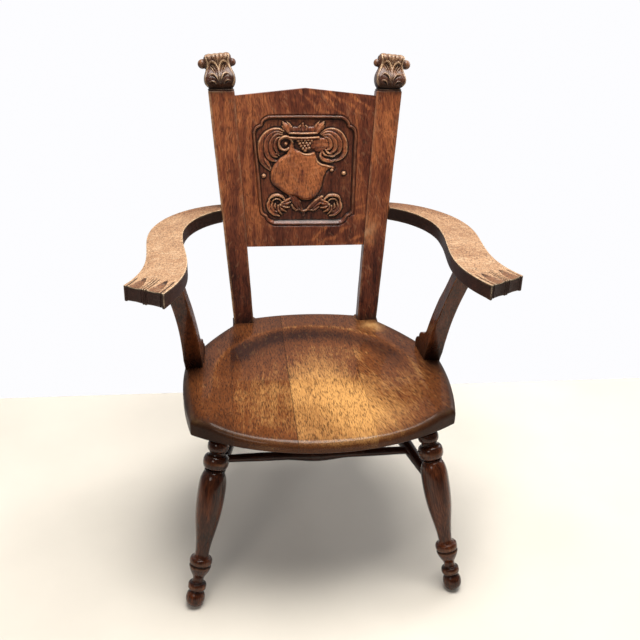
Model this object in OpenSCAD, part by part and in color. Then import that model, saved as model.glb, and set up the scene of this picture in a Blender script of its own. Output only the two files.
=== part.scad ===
// Oak armchair in the Jacobean manner: saddle seat, raked back with a carved
// panel, open S-shaped arms and turned legs joined by an H of stretchers.
// Millimetres, Z up, floor at Z = 0. The sitter looks along -Y.
// Left is the -X side and right is the +X side, as seen from the front.

/* [Seat] */
// Height of the seat's rim above the floor
seat_h = 403; // [390:1:430]
// Thickness of the seat boards
seat_t = 40; // [38:1:44]
// Width of the seat at its widest
seat_w = 593; // [580:1:615]
// Depth of the seat from front edge to back edge
seat_d = 552; // [540:1:570]
// Radius of the bowed front edge, seen from above
front_bow_r = 499; // [480:1:560]
// Radius of the bowed back edge, seen from above
back_bow_r = 552; // [500:5:620]
// Radius of the front half of each side edge, seen from above
side_bow_r = 700; // [600:10:900]
// Radius of the rear half of each side edge, seen from above
hip_bow_r = 750; // [600:10:900]
// Rounding of the seat's top edge
rim_r = 16; // [12:1:17]
// Rounding of the seat's lower edge
under_r = 5; // [4:1:8]
// Radius of the saddle hollow, seen from above
dish_r = 230; // [215:1:236]
// Depth of the saddle hollow below the rim
dish_deep = 12; // [8:1:14]

/* [Back] */
// Gap between the two posts where they meet the seat
post_gap = 260; // [255:1:270]
// Width of a post at the seat
post_w = 48; // [46:1:52]
// Width of a post at its top
post_top_w = 60; // [56:1:64]
// Thickness of a post from front to back
post_t = 32; // [30:1:36]
// Height of a post's top above the floor, along its front face
post_h = 952; // [925:1:980]
// Lean of the back from upright, in degrees
back_lean = 9.5; // [8:0.5:11]
// Outward slant of a post's inner edge, in degrees
post_slant = 3.5; // [3:0.1:4]
// Distance from the seat's back edge to a post's front face
post_inset = 52.5; // [50:0.5:56]
// Height of the panel's lower edge above the floor
panel_low = 593; // [578:1:615]
// Thickness of the panel
panel_t = 22; // [20:1:24]
// Set-back of the panel behind the front of the posts
panel_inset = 4; // [2:0.5:6]
// Drop of the panel's top corners below the top of the posts
panel_drop = 11; // [6:1:16]
// Rise of the panel's top edge from its corners to its middle
panel_peak = 17; // [10:1:24]

/* [Carving] */
// Width of the sunk field at its shoulders
field_w = 234; // [220:1:244]
// Height of the sunk field
field_h = 252; // [240:1:262]
// Depth of the sunk field
field_deep = 5; // [3:0.5:7]
// Height of a finial above its post
finial_h = 81; // [74:1:88]
// Width of a finial across its lower lobes
finial_w = 67; // [62:1:72]
// Outward lean of a finial, in degrees
finial_lean = 7; // [3:0.5:9]

/* [Arms] */
// Height of an arm's top above the floor, at the post
arm_h = 687; // [672:1:702]
// Thickness of an arm
arm_t = 32; // [28:1:36]
// Rise of an arm towards the front, in degrees
arm_rise = 1.5; // [0:0.5:3]
// Distance from the chair's middle to an arm's outer edge, halfway along
arm_out = 362; // [350:1:375]
// Width of an arm halfway along
arm_w = 76; // [70:1:84]
// Distance from the chair's middle to the middle of an arm's front end
arm_end_out = 350; // [340:1:365]
// Distance from the seat's front edge back to the middle of an arm's front end
arm_end_back = 80; // [65:1:95]
// Width of an arm's front end
arm_end_w = 89; // [84:1:96]
// Outward turn of an arm's front end, in degrees
arm_end_turn = 30; // [24:1:34]
// Width of an arm support, seen from the front
prop_w = 39; // [36:1:41]
// Depth of an arm support's foot, with the bracket behind it
prop_foot_d = 75; // [70:1:78]
// Depth of an arm support above its bracket
prop_d = 36; // [34:1:40]
// Depth of an arm support at its top
prop_top_d = 28; // [26:1:32]
// Forward lean of an arm support, in degrees
prop_lean = 17.5; // [14:0.5:20]

/* [Legs] */
// Forward or backward lean of a leg, in degrees
leg_rake = 17.1; // [15:0.1:18.5]
// Sideways lean of a front leg, in degrees
front_splay = 10.4; // [9:0.1:11.5]
// Sideways lean of a rear leg, in degrees
rear_splay = 8; // [7:0.1:9]
// Distance from the chair's middle to a front leg, under the seat
front_leg_out = 217; // [212:1:222]
// Distance from the chair's middle to a rear leg, under the seat
rear_leg_out = 126; // [124:1:128]
// Diameter of a leg at the fullest part of its vase
vase_d = 58; // [55:1:62]
// Diameter of a leg at the narrowest part of its vase
neck_d = 28; // [26:1:32]
// Diameter of the ball foot
ball_d = 38; // [36:1:42]
// Height of the stretchers above the floor
rail_h = 224; // [210:1:238]
// Diameter of a side stretcher at its fullest part
side_rail_d = 31; // [30:1:34]
// Diameter of the cross stretcher at its fullest part
cross_rail_d = 31; // [28:1:34]

/* [Joints] */
// Clearance on each side of a tenon, dowel or peg in its hole
fit_gap = 0.15; // [0.1:0.05:0.3]
// Diameter of the round tenons of legs and arm supports
tenon_d = 24; // [20:1:25]
// Depth of a blind socket in the seat or an arm
socket_deep = 20; // [18:1:22]
// Diameter of a stretcher's plain end
rail_end_d = 19; // [18:1:20]
// Diameter of the dowels
dowel_d = 8; // [6:1:10]
// Length of the dowels
dowel_len = 40; // [32:1:44]
// Thickness of a foot glide
glide_t = 2.5; // [2:0.5:4]

/* [Hidden] */
$fn = 48;

oak = "#5a3220";
oak_dark = "#3a1f16";
oak_gold = "#8a5a2c";
arm_tan = "#b08560";
far = 2000;

// Seat
seat_under = seat_h - seat_t;
plan_shift = 25.4;
seat_front = -seat_d / 2 - plan_shift;
seat_back = seat_front + seat_d;
mid_back = 222;
dish_back = 246;
seat_mid = seat_front + mid_back;
dish_mid = seat_front + dish_back;
hip_in = 60;
hip_back = 206;
hip_mid = [seat_w / 2 - hip_in, seat_mid + hip_back];
hip_turn = 33;
hip_at = hip_mid - hip_bow_r * [cos(hip_turn), sin(hip_turn)];
seams = [-190, -62, 100];
seam_dowels = [-80, 15, 150];
dish_steps = 9;

// Back
post_y = seat_back - post_inset;
post_len = (post_h - seat_h) / cos(back_lean);
post_in = post_gap / 2;
post_out = post_in + post_w;
post_in_top = post_in + post_len * tan(post_slant);
post_out_top = post_in_top + post_top_w;
post_tenon_w = post_w - 18;
post_tenon_t = post_t / 2;
ear = 3;
panel_s0 = (panel_low - seat_h) / cos(back_lean);
panel_s1 = post_len - panel_drop;
field_up = 183;
field_s = panel_s0 + field_up;
field_x = -3;

// Arms
root_s = (arm_h - arm_t / 2 - seat_h) / cos(back_lean);
root_x = post_side(root_s);
root_y = post_y + (arm_h - arm_t / 2 - seat_h) * tan(back_lean);
arm_end_y = seat_front + arm_end_back;
prop_x = 273;
prop_top_x = 311;
prop_top_w = 40;
prop_y = seat_mid + 93;
prop_front_y = prop_y - 24;
bracket_h = 62;
foot_ball = 20;
prop_h = arm_h - arm_t - seat_h;

// Legs
leg_h = seat_under;
front_leg_y = seat_front + 89;
rear_leg_y = seat_back - 68;
glide_r = 8;
cup_top = 118;
neck_top = 167;
vase_low = 200;

function post_edge(s) = post_in + s * tan(post_slant);
function post_side(s) = post_out + s * (post_out_top - post_out) / post_len;

// Points of a cubic curve with n steps, the last point left to the next piece
function curve(a, b, c, d, n) = [for (i = [0 : n - 1]) let (t = i / n, u = 1 - t)
    u * u * u * a + 3 * u * u * t * b + 3 * u * t * t * c + t * t * t * d];

// Points of a closed smooth line through the given points, with n steps each
function smooth_loop(p, n) = let (m = len(p)) [for (i = [0 : m - 1], k = [0 : n - 1])
    let (a = p[(i + m - 1) % m], b = p[i], c = p[(i + 1) % m], d = p[(i + 2) % m], t = k / n)
    (2 * b + (c - a) * t + (2 * a - 5 * b + 4 * c - d) * t * t
        + (3 * b - a - 3 * c + d) * t * t * t) / 2];

// Puts its children on both sides of the chair
module pair() {
    children();
    mirror([1, 0, 0]) children();
}

// Everything below this height is kept
module below(z) {
    intersection() {
        children();
        translate([-far / 2, -far / 2, z - far]) cube([far, far, far]);
    }
}

// Everything above this height is kept
module above(z) {
    intersection() {
        children();
        translate([-far / 2, -far / 2, z]) cube([far, far, far]);
    }
}

// Seat

// A disc with a rounded rim, the seat's full thickness
module rim_disc(r) {
    translate([0, 0, seat_under]) rotate_extrude($fn = 144) polygon(concat([[0, 0]],
        [for (a = [-90 : 30 : 0]) [r - under_r + under_r * cos(a), under_r + under_r * sin(a)]],
        [for (a = [0 : 18 : 90]) [r - rim_r + rim_r * cos(a), seat_t - rim_r + rim_r * sin(a)]],
        [[0, seat_t]]));
}

// Outline of the seat: bowed edges, with a square ear behind each post
module seat_body() {
    intersection() {
        translate([0, seat_front + front_bow_r, 0]) rim_disc(front_bow_r);
        translate([0, seat_back - back_bow_r, 0]) rim_disc(back_bow_r);
        translate([seat_w / 2 - side_bow_r, seat_mid + 26, 0]) rim_disc(side_bow_r);
        translate([side_bow_r - seat_w / 2, seat_mid + 26, 0]) rim_disc(side_bow_r);
        translate([hip_at[0], hip_at[1], 0]) rim_disc(hip_bow_r);
        translate([-hip_at[0], hip_at[1], 0]) rim_disc(hip_bow_r);
    }
    pair() translate([post_in - ear, post_y - ear, seat_under])
        cube([post_w + 2 * ear, post_t / cos(back_lean) + 2 * ear, seat_t]);
}

// The saddle hollow: a shallow bowl that runs out over the front edge
function dish_z(q) = -dish_deep * (1 - pow(q, 5)) * (q < 1 ? 1 : 0);
module dish_profile() {
    polygon(concat([[0, seat_t], [0, -dish_deep]],
        [for (i = [4 : dish_steps]) let (q = i / dish_steps) [q * dish_r, dish_z(q)]],
        [[dish_r + 2, 2], [dish_r + 2, seat_t]]));
}
module dish() {
    translate([0, dish_mid, seat_h]) rotate([0.5, 0, 0]) {
        rotate_extrude($fn = 96) dish_profile();
        rotate([90, 0, 0]) linear_extrude(far / 4) {
            dish_profile();
            mirror([1, 0]) dish_profile();
        }
    }
}

// One board of the seat, from x0 to x1, with every socket that falls in it
module seat_board(x0, x1) {
    difference() {
        intersection() {
            seat_body();
            translate([x0, -far / 2, 0]) cube([x1 - x0, far, far]);
        }
        dish();
        pair() {
            post_tenon(fit_gap);
            post_peg(fit_gap);
            front_leg_place() leg_tenon(fit_gap);
            rear_leg_place() leg_tenon(fit_gap);
            prop_tenon(prop_x, seat_h, -1, fit_gap);
        }
        seam_dowel_set(fit_gap);
    }
}
module seat_board_1() { color(oak) seat_board(-seat_w, seams[0]); }
module seat_board_2() { color(oak) seat_board(seams[0], seams[1]); }
module seat_board_3() { color(oak_gold) seat_board(seams[1], seams[2]); }
module seat_board_4() { color(oak) seat_board(seams[2], seat_w); }

// Dowels that line up the boards across each seam
module seam_dowel_set(gap) {
    for (x = seams, y = seam_dowels)
        translate([x, seat_mid + y, seat_under + (seat_t - dish_deep) / 2])
            rotate([0, 90, 0]) cylinder(d = dowel_d + 2 * gap, h = dowel_len + 2 * gap, center = true);
}
module seat_dowels() { color(oak_gold) seam_dowel_set(0); }

// Back

// The leaning frame of the back: x across, y into the wood, z up along the posts
module back_frame() {
    translate([0, post_y, seat_h]) rotate([-back_lean, 0, 0]) children();
}

// A flat shape drawn in x and z, from y0 to y1 deep in the leaning frame
module plate(y0, y1) {
    translate([0, y1, 0]) rotate([90, 0, 0]) linear_extrude(y1 - y0) children();
}

module post_tenon(gap) {
    back_frame() translate([post_in + (post_w - post_tenon_w) / 2 - gap,
        (post_t - post_tenon_t) / 2 - gap, -2 * seat_t])
        cube([post_tenon_w + 2 * gap, post_tenon_t + 2 * gap, 2 * seat_t + post_t / 2]);
}

// Oak peg driven from the seat's back edge through a post's tenon
module post_peg(gap) {
    peg_x = post_in + post_w / 2;
    peg_y = seat_back - peg_x * peg_x / (2 * back_bow_r) - 62;
    translate([peg_x, peg_y - gap, seat_under + seat_t * 0.45]) rotate([-90, 0, 0])
        cylinder(d = dowel_d + 2 * gap, h = post_y + post_t / cos(back_lean) + ear - peg_y + gap);
}
module post_pegs() { color(oak_gold) pair() post_peg(0); }

module back_post() {
    difference() {
        union() {
            above(seat_h) back_frame() plate(0, post_t) polygon([[post_in, 0], [post_out, 0],
                [post_out_top, post_len], [post_in_top, post_len]]);
            above(seat_under) post_tenon(0);
        }
        post_peg(fit_gap);
        panel_dowel_set(fit_gap);
        finial_dowel(fit_gap);
        arm_dowel(fit_gap);
    }
}
module back_post_left() { color(oak) mirror([1, 0, 0]) back_post(); }
module back_post_right() { color(oak) back_post(); }

// Dowels between the panel's edges and the posts
module panel_dowel_set(gap) {
    for (k = [0.12, 0.5, 0.88]) let (s = panel_s0 + k * (panel_s1 - panel_s0))
        back_frame() translate([post_edge(s), panel_inset + panel_t / 2, s]) rotate([0, 90, 0])
            cylinder(d = dowel_d + 2 * gap, h = dowel_len + 2 * gap, center = true);
}
module panel_dowels() { color(oak_gold) pair() panel_dowel_set(0); }

// Sunk field of the panel: two crossing round-cornered shapes make its shoulders
module round_box(w, h, r) {
    square([w - 2 * r, h], center = true);
    square([w, h - 2 * r], center = true);
    for (x = [-1, 1], z = [-1, 1]) translate([x * (w / 2 - r), z * (h / 2 - r)]) circle(r);
}
module field_shape(grow) {
    round_box(field_w + 2 * grow, field_h * 0.8 + 2 * grow, 14 + grow);
    round_box(field_w * 0.88 + 2 * grow, field_h + 2 * grow, 23 + grow);
}

// Tilted shield, drawn round the field's middle
shield = [[-31, 62], [-18, 46], [-3, 37], [22, 39], [30, 22], [48, 9], [68, 4], [47, -8],
    [40, -38], [22, -64], [2, -71], [-20, -63], [-46, -57], [-66, -40], [-77, -22],
    [-72, 8], [-52, 28], [-37, 42]];
module shield_shape() {
    polygon(smooth_loop(shield, 3));
}

// A raised curl: part of a ring round the point [x, z], from angle a0 over da
module curl(x, z, r, thick, a0, da) {
    translate([x, 0, z]) rotate([90, -a0, 0])
        rotate_extrude(angle = da, $fn = 48) translate([r, 0]) circle(d = thick, $fn = 16);
}

// Carved figures in the field, all sunk a little into its floor
module carving() {
    y = field_deep;
    plate(-1, y + 1) shield_shape();
    for (x = [-96, 94]) translate([x, y - 1, -14]) sphere(5.5, $fn = 20);
    translate([-43, y + 1, 62]) rotate([90, 0, 0]) cylinder(r = 10, h = 7);
    translate([66, y + 1, -3]) rotate([90, 0, 0]) cylinder(r = 6, h = 7);
    plate(1, y + 1) translate([-2, 82]) square([70, 8], center = true);
    for (k = [-2 : 2]) plate(2, y + 1)
        polygon([[-2 + k * 15 - 7, 85], [-2 + k * 17, 108 - abs(k) * 2], [-2 + k * 15 + 7, 85]]);
    for (row = [0 : 3], k = [0 : 3 - row])
        translate([-2 + (k - (3 - row) / 2) * 8, y - 1, 71 - row * 6.5]) sphere(4.2, $fn = 16);
    for (k = [0 : 3]) translate([0, y - 0.5, 0]) {
        curl(-46, 58, 19 + k * 10, 7, 72 + k * 3, 100 + k * 14);
        curl(42, 58, 19 + k * 10, 7, 108 - k * 3, -100 - k * 10);
    }
    for (x = [-62, 60]) translate([0, y - 0.5, 0]) {
        curl(x, -88, 16, 9, 0, 360);
        translate([x, 0, -88]) sphere(7.5, $fn = 20);
    }
    translate([0, y - 0.5, 0]) curl(-1, -42, 62, 8, -128, 76);
}

module back_panel() {
    color(oak) difference() {
        back_frame() translate([0, panel_inset, 0]) {
            difference() {
                plate(0, panel_t) polygon([
                    [-post_edge(panel_s0), panel_s0], [post_edge(panel_s0), panel_s0],
                    [post_edge(panel_s1), panel_s1], [0, panel_s1 + panel_peak],
                    [-post_edge(panel_s1), panel_s1]]);
                translate([field_x, 0, field_s]) plate(-1, field_deep) field_shape(0);
                translate([field_x, 0, field_s]) plate(-1, 1.5) difference() {
                    field_shape(6.5);
                    field_shape(4.5);
                }
            }
            translate([field_x, 0, field_s]) carving();
        }
        pair() panel_dowel_set(fit_gap);
    }
}

// Finials

// The top of a post: the frame in which a finial stands
module finial_frame() {
    back_frame() translate([(post_in_top + post_out_top) / 2, post_t / 2, post_len]) children();
}
module finial_dowel(gap) {
    finial_frame() translate([0, 0, -dowel_len / 2 - gap])
        cylinder(d = dowel_d + 2 * gap, h = dowel_len + 2 * gap);
}
module finial_dowels() { color(oak_gold) pair() finial_dowel(0); }

// Outline seen from the front: lobes, waist and spreading top of the leaf
module finial_front() {
    w = finial_w / 2;
    h = finial_h;
    side = concat(
        curve([w * 0.8, 0], [w * 1.05, h * 0.1], [w * 1.1, h * 0.32], [w * 0.9, h * 0.47], 6),
        curve([w * 0.9, h * 0.47], [w * 0.7, h * 0.6], [w * 0.76, h * 0.7], [w * 0.88, h * 0.8], 5),
        curve([w * 0.88, h * 0.8], [w * 0.94, h * 0.94], [w * 0.6, h], [w * 0.3, h], 4));
    n = len(side);
    polygon(concat(side, [for (i = [0 : n - 1]) [-side[n - 1 - i][0], side[n - 1 - i][1]]]));
}

// Outline seen from the side: the leaf bulges low in front and rolls back at the top
module finial_side() {
    d = post_t / 2;
    h = finial_h;
    polygon(concat(
        curve([-d, 0], [-d * 1.9, h * 0.12], [-d * 2, h * 0.36], [-d * 1.15, h * 0.55], 7),
        curve([-d * 1.15, h * 0.55], [-d * 0.8, h * 0.68], [-d * 1.3, h * 0.96], [0, h], 5),
        curve([0, h], [d * 1.1, h], [d * 1.5, h * 0.8], [d * 1.25, h * 0.66], 5),
        [[d * 0.75, h * 0.55], [d * 0.75, h * 0.2], [d, 0]]));
}
module finial() {
    d = post_t / 2;
    roll_z = finial_h * 0.71;
    difference() {
        finial_frame() {
            translate([-finial_w * 0.41, -d, 0]) cube([finial_w * 0.82, 2 * d, 5]);
            above(0) rotate([0, finial_lean, 0]) {
                intersection() {
                    translate([0, far / 2, 0]) rotate([90, 0, 0]) linear_extrude(far) finial_front();
                    translate([-far / 2, 0, 0]) rotate([90, 0, 90]) linear_extrude(far) finial_side();
                }
                translate([0, d * 0.6, roll_z]) rotate([0, 90, 0])
                    cylinder(r = 10.5, h = finial_w, center = true);
                for (x = [-0.5, 0.5]) translate([x * finial_w, d * 0.6, roll_z]) sphere(9.5, $fn = 24);
                for (x = [-0.24, 0.24])
                    translate([x * finial_w, -d * 1.35, finial_h * 0.26]) sphere(9, $fn = 24);
            }
        }
        finial_dowel(fit_gap);
    }
}
module finial_left() { color(oak_dark) mirror([1, 0, 0]) finial(); }
module finial_right() { color(oak_dark) finial(); }

// Arms

// The tilted frame of an arm: its lower face is at z = 0 and passes the post's side
module arm_frame() {
    translate([0, root_y, arm_h - arm_t]) rotate([-arm_rise, 0, 0]) children();
}
arm_turn = [cos(arm_end_turn), sin(arm_end_turn)];
arm_back = [-sin(arm_end_turn), cos(arm_end_turn)];
arm_end = [arm_end_out, arm_end_y - root_y];
arm_end_o = arm_end + arm_turn * arm_end_w / 2;
arm_end_i = arm_end - arm_turn * arm_end_w / 2;
arm_mid_y = -190;

// Outline of the arm from above, with y measured from the post
module arm_shape() {
    mid_o = [arm_out, arm_mid_y];
    mid_i = [arm_out - arm_w, arm_mid_y + 12];
    polygon(concat(
        curve([root_x - 12, post_t + 2], [root_x + 72, post_t - 6],
            mid_o + [0, 130], mid_o, 14),
        curve(mid_o, mid_o - [0, 82], arm_end_o + 103 * arm_back, arm_end_o, 12), [arm_end_o],
        curve(arm_end_i, arm_end_i + 140 * arm_back, mid_i - [0, 100], mid_i, 12),
        curve(mid_i, mid_i + [4, 82], [root_x + 44, -24], [root_x - 16, 0], 12)));
}

// Everything on the inner side of a post's outer face, to trim an arm's root
module inside_post() {
    back_frame() plate(-far / 2, far / 2) polygon([[-far / 2, -far / 2],
        [post_side(-far / 2), -far / 2], [post_side(far / 2), far / 2], [-far / 2, far / 2]]);
}
module arm_dowel(gap) {
    back_frame() translate([root_x, post_t / 2, root_s]) rotate([0, 90, 0])
        cylinder(d = dowel_d + 2 * gap, h = dowel_len + 2 * gap, center = true);
}
module arm_dowels() { color(oak_gold) pair() arm_dowel(0); }

// Cuts at the arm's end: two edge grooves, a close pair, two hollows and upright flutes
module knuckle_cuts() {
    for (k = [[-0.38, 42, 3.4], [-0.045, 52, 3], [0.045, 52, 3], [0.4, 42, 3.4]])
        translate(concat(arm_end + arm_turn * k[0] * arm_end_w, arm_t)) rotate([0, 0, arm_end_turn])
            translate([-k[2] / 2, -6, -2.2]) rotate([2.6, 0, 0]) cube([k[2], k[1] + 6, 8]);
    for (k = [-0.2, 0.22])
        translate(concat(arm_end + arm_turn * k * arm_end_w, arm_t + 21))
            rotate([0, 0, arm_end_turn]) rotate([-86, 0, 0]) translate([0, 0, -30])
                cylinder(r = 24, h = 78);
    for (k = [-0.14, -0.045, 0.045, 0.14])
        translate(concat(arm_end + arm_turn * k * arm_end_w - arm_back, -1))
            cylinder(r = 2.4, h = arm_t + 2, $fn = 24);
}
module arm() {
    difference() {
        arm_frame() difference() {
            linear_extrude(arm_t) arm_shape();
            knuckle_cuts();
        }
        inside_post();
        arm_dowel(fit_gap);
        prop_tenon(prop_top_x, prop_top(), 1, fit_gap);
    }
}
module arm_left() { color(arm_tan) mirror([1, 0, 0]) arm(); }
module arm_right() { color(arm_tan) arm(); }

// Arm supports

// Height of the arm's lower face above the middle of a support's top
function prop_top_y() = prop_front_y - prop_h * tan(prop_lean) + prop_top_d / 2;
function prop_top() = arm_h - arm_t + (root_y - prop_top_y()) * tan(arm_rise);

// Round tenon of a support, up into the arm or down into the seat
module prop_tenon(x, z, dir, gap) {
    y = dir < 0 ? prop_y : prop_top_y();
    translate([x, y, dir < 0 ? z - socket_deep - gap : z - 8])
        cylinder(d = tenon_d - 4 + 2 * gap, h = socket_deep + 8 + gap);
}

// Front view of a support: a pinched foot, then a stem that bends outwards
module prop_front() {
    w = prop_w / 2;
    h = prop_h + 14;
    in_foot = [prop_x - w, 0];
    out_foot = [prop_x + w + 2.5, 22];
    in_top = [prop_top_x - prop_top_w / 2, h];
    out_top = [prop_top_x + prop_top_w / 2, h];
    polygon(concat([in_foot - [0, 20], [prop_x + w, -20], [prop_x + w, 0]],
        curve(out_foot, out_foot + [1.5, 78], out_top + [-30, -108], out_top, 10),
        [out_top, out_top + [12, 43], in_top + [8, 43]],
        curve(in_top, in_top + [-19, -108], in_foot + [3, 90], in_foot, 10)));
}

// Side view of a support: it leans forward and has a scalloped bracket low at the back
module prop_side() {
    y = prop_front_y;
    run = (prop_h + 60) * tan(prop_lean);
    heel = y + prop_foot_d;
    stem = [y + prop_d - bracket_h * tan(prop_lean), bracket_h + 10];
    polygon(concat([[y, -20], [y, 0], [y - run, prop_h + 60], [y + prop_top_d - run, prop_h + 60],
        [y + prop_d - 0.6 * prop_h * tan(prop_lean), 0.6 * prop_h]],
        curve(stem, stem + [7, -22], [heel - 44, 52], [heel - 30, 54], 6),
        curve([heel - 30, 54], [heel - 20, 54], [heel - 18, 44], [heel - 21, 33], 5),
        [[heel - 21, 33]],
        curve([heel - 14, 31], [heel - 1, 28], [heel + 1, 12], [heel - 4, 0], 6),
        [[heel - 4, 0], [heel - 4, -20]]));
}
module arm_support() {
    difference() {
        above(seat_h) intersection() {
            translate([0, far / 2, seat_h]) rotate([90, 0, 0]) linear_extrude(far) prop_front();
            translate([0, 0, seat_h]) rotate([90, 0, 90]) linear_extrude(far) prop_side();
        }
        arm_frame() translate([-far / 2, -far / 2, 0]) cube([far, far, far]);
        translate([prop_x + prop_w / 2, prop_front_y + prop_d + 2, seat_h - 1]) rotate([0, 0, 23])
            cube([prop_w, prop_foot_d + 5, 1.3 * bracket_h]);
    }
    prop_tenon(prop_x, seat_h, -1, 0);
    prop_tenon(prop_top_x, prop_top(), 1, 0);
}
module arm_support_left() { color(oak_dark) mirror([1, 0, 0]) arm_support(); }
module arm_support_right() { color(oak_dark) arm_support(); }

// Legs

// Turns local z into a line that leans back by rake and sideways by splay,
// and stands it under the seat at [x, y]
module lean_place(x, y, rake, splay) {
    tx = tan(splay);
    ty = tan(rake);
    n = sqrt(1 + tx * tx + ty * ty);
    rx = -asin(ty / n);
    translate([x, y, leg_h]) rotate([rx, -asin(tx / n / cos(rx)), 0]) children();
}
function lean_len(rake, splay) = leg_h * sqrt(1 + pow(tan(splay), 2) + pow(tan(rake), 2));
module front_leg_place() { lean_place(front_leg_out, front_leg_y, leg_rake, front_splay) children(); }
module rear_leg_place() { lean_place(rear_leg_out, rear_leg_y, -leg_rake, rear_splay) children(); }

// Half section of a turned leg of this length, with its top end at height 0
module leg_section(l) {
    v = vase_d / 2;
    n = neck_d / 2;
    b = ball_d / 2;
    intersection() {
        translate([0, -l]) {
            polygon(concat([[0, 0], [b * 0.6, 0], [b * 0.84, 36], [11.5, 57], [11.5, 68], [20, 82],
                [21, 108], [n, cup_top]],
                curve([n, cup_top], [n + 2, neck_top], [v + 1, l - vase_low], [v, l - cup_top], 12),
                curve([v, l - cup_top], [v - 0.6, l - 98], [v - 5, l - 88], [20, l - 81], 6),
                [[20, l - 76], [22, l - 72], [22, l - 46], [17, l - 36], [17.5, l - 24],
                    [19, l - 8], [19, l + 20], [0, l + 20]]));
            translate([0, b + 2]) circle(b);
            translate([b - 8, 47.5]) circle(7.5);
            translate([16, 87.5]) circle(7.5);
            translate([16, 103.5]) circle(7.5);
            translate([12, l - 60]) circle(15);
        }
        translate([0, -l - 1]) square([far, l + 60]);
    }
}

// Round tenon on top of a leg, in the leg's own frame
module leg_tenon(gap) {
    translate([0, 0, -8]) cylinder(d = tenon_d + 2 * gap, h = socket_deep + 8 + gap);
}

// Foot glide: a disc under the ball, with its nail
module glide(rake, splay, gap) {
    translate([(leg_h - foot_ball) * tan(splay), (foot_ball - leg_h) * tan(rake), 0]) {
        cylinder(r = glide_r, h = glide_t);
        cylinder(r = 1.5 + gap, h = glide_t + 12 + gap, $fn = 16);
    }
}
module foot_glides() {
    color("#cbb894") pair() {
        translate([front_leg_out, front_leg_y, 0]) glide(leg_rake, front_splay, 0);
        translate([rear_leg_out, rear_leg_y, 0]) glide(-leg_rake, rear_splay, 0);
    }
}
module front_leg() {
    difference() {
        union() {
            above(glide_t) below(seat_under) front_leg_place()
                rotate_extrude() leg_section(lean_len(leg_rake, front_splay));
            front_leg_place() leg_tenon(0);
        }
        translate([front_leg_out, front_leg_y, 0]) glide(leg_rake, front_splay, fit_gap);
        side_rail_place() rail_socket(0);
    }
}
module rear_leg() {
    difference() {
        union() {
            above(glide_t) below(seat_under) rear_leg_place()
                rotate_extrude() leg_section(lean_len(leg_rake, rear_splay));
            rear_leg_place() leg_tenon(0);
        }
        translate([rear_leg_out, rear_leg_y, 0]) glide(-leg_rake, rear_splay, fit_gap);
        side_rail_place() rail_socket(side_rail_len);
    }
}
module front_leg_left() { color(oak_dark) mirror([1, 0, 0]) front_leg(); }
module front_leg_right() { color(oak_dark) front_leg(); }
module rear_leg_left() { color(oak_dark) mirror([1, 0, 0]) rear_leg(); }
module rear_leg_right() { color(oak_dark) rear_leg(); }

// Stretchers

// Where the leg axes pass the stretchers' height
rail_drop = leg_h - rail_h;
rail_front = [front_leg_out + rail_drop * tan(front_splay), front_leg_y - rail_drop * tan(leg_rake)];
rail_rear = [rear_leg_out + rail_drop * tan(rear_splay), rear_leg_y + rail_drop * tan(leg_rake)];
rail_run = rail_rear - rail_front;
side_rail_len = norm(rail_run);
rail_turn = atan2(rail_run[0], rail_run[1]);
rail_tip = 6;
cross_y = seat_mid - 32;
cross_x = rail_front[0] + (cross_y - rail_front[1]) * rail_run[0] / rail_run[1];
cross_k = (cross_y - rail_front[1]) / rail_run[1];
cross_tip = 3;

// The right side stretcher's own line: z runs from the front leg to the rear leg
module side_rail_place() {
    translate([rail_front[0], rail_front[1], rail_h]) rotate([-90, 0, -rail_turn]) children();
}

// Socket in a leg for the end of a side stretcher that crosses the leg at z
module rail_socket(z) {
    dir = z > 0 ? -1 : 1;
    translate([0, 0, z + dir * (rail_tip - 1)]) mirror([0, 0, dir < 0 ? 1 : 0])
        cylinder(d = rail_end_d + 2 * fit_gap, h = vase_d);
}

// Side stretcher: plain ends, swelling to the middle
module side_stretcher() {
    a = rail_tip;
    l = side_rail_len - rail_tip;
    e = rail_end_d / 2;
    m = side_rail_d / 2;
    plain = 34;
    difference() {
        side_rail_place() rotate_extrude() polygon(concat([[0, a], [e, a], [e, a + plain]],
            [for (i = [1 : 15]) let (k = i / 16)
                [e + (m - e) * pow(sin(180 * k), 0.75), a + plain + k * (l - a - 2 * plain)]],
            [[e, l - plain], [e, l], [0, l]]));
        translate([cross_x - cross_tip + 1, cross_y, rail_h]) rotate([0, -90, 0])
            cylinder(d = rail_end_d - 1 + 2 * fit_gap, h = side_rail_d);
    }
}
module side_stretcher_left() { color(oak_dark) mirror([1, 0, 0]) side_stretcher(); }
module side_stretcher_right() { color(oak_dark) side_stretcher(); }

// Cross stretcher: a thin rod with one turned swelling in the middle
module cross_stretcher() {
    e = (rail_end_d - 1) / 2;
    m = cross_rail_d / 2;
    l = cross_x - cross_tip;
    swell = 72;
    plain = 30;
    color(oak_dark) translate([0, cross_y, rail_h]) rotate([0, 90, 0]) rotate_extrude()
        polygon(concat([[0, -l], [e, -l], [e, -l + plain], [e + 1, -l * 0.6]],
            [for (i = [0 : 12]) let (k = i / 6 - 1)
                [e + 1 + (m - e - 1) * pow(cos(90 * k), 1.6), k * swell]],
            [[e + 1, l * 0.6], [e, l - plain], [e, l], [0, l]]));
}

seat_board_1();
seat_board_2();
seat_board_3();
seat_board_4();
seat_dowels();
back_post_left();
back_post_right();
post_pegs();
back_panel();
panel_dowels();
finial_left();
finial_right();
finial_dowels();
arm_left();
arm_right();
arm_dowels();
arm_support_left();
arm_support_right();
front_leg_left();
front_leg_right();
rear_leg_left();
rear_leg_right();
side_stretcher_left();
side_stretcher_right();
cross_stretcher();
foot_glides();
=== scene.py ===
"""Carved oak armchair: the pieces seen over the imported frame, with their finishes, stage and camera."""

import math

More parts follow.
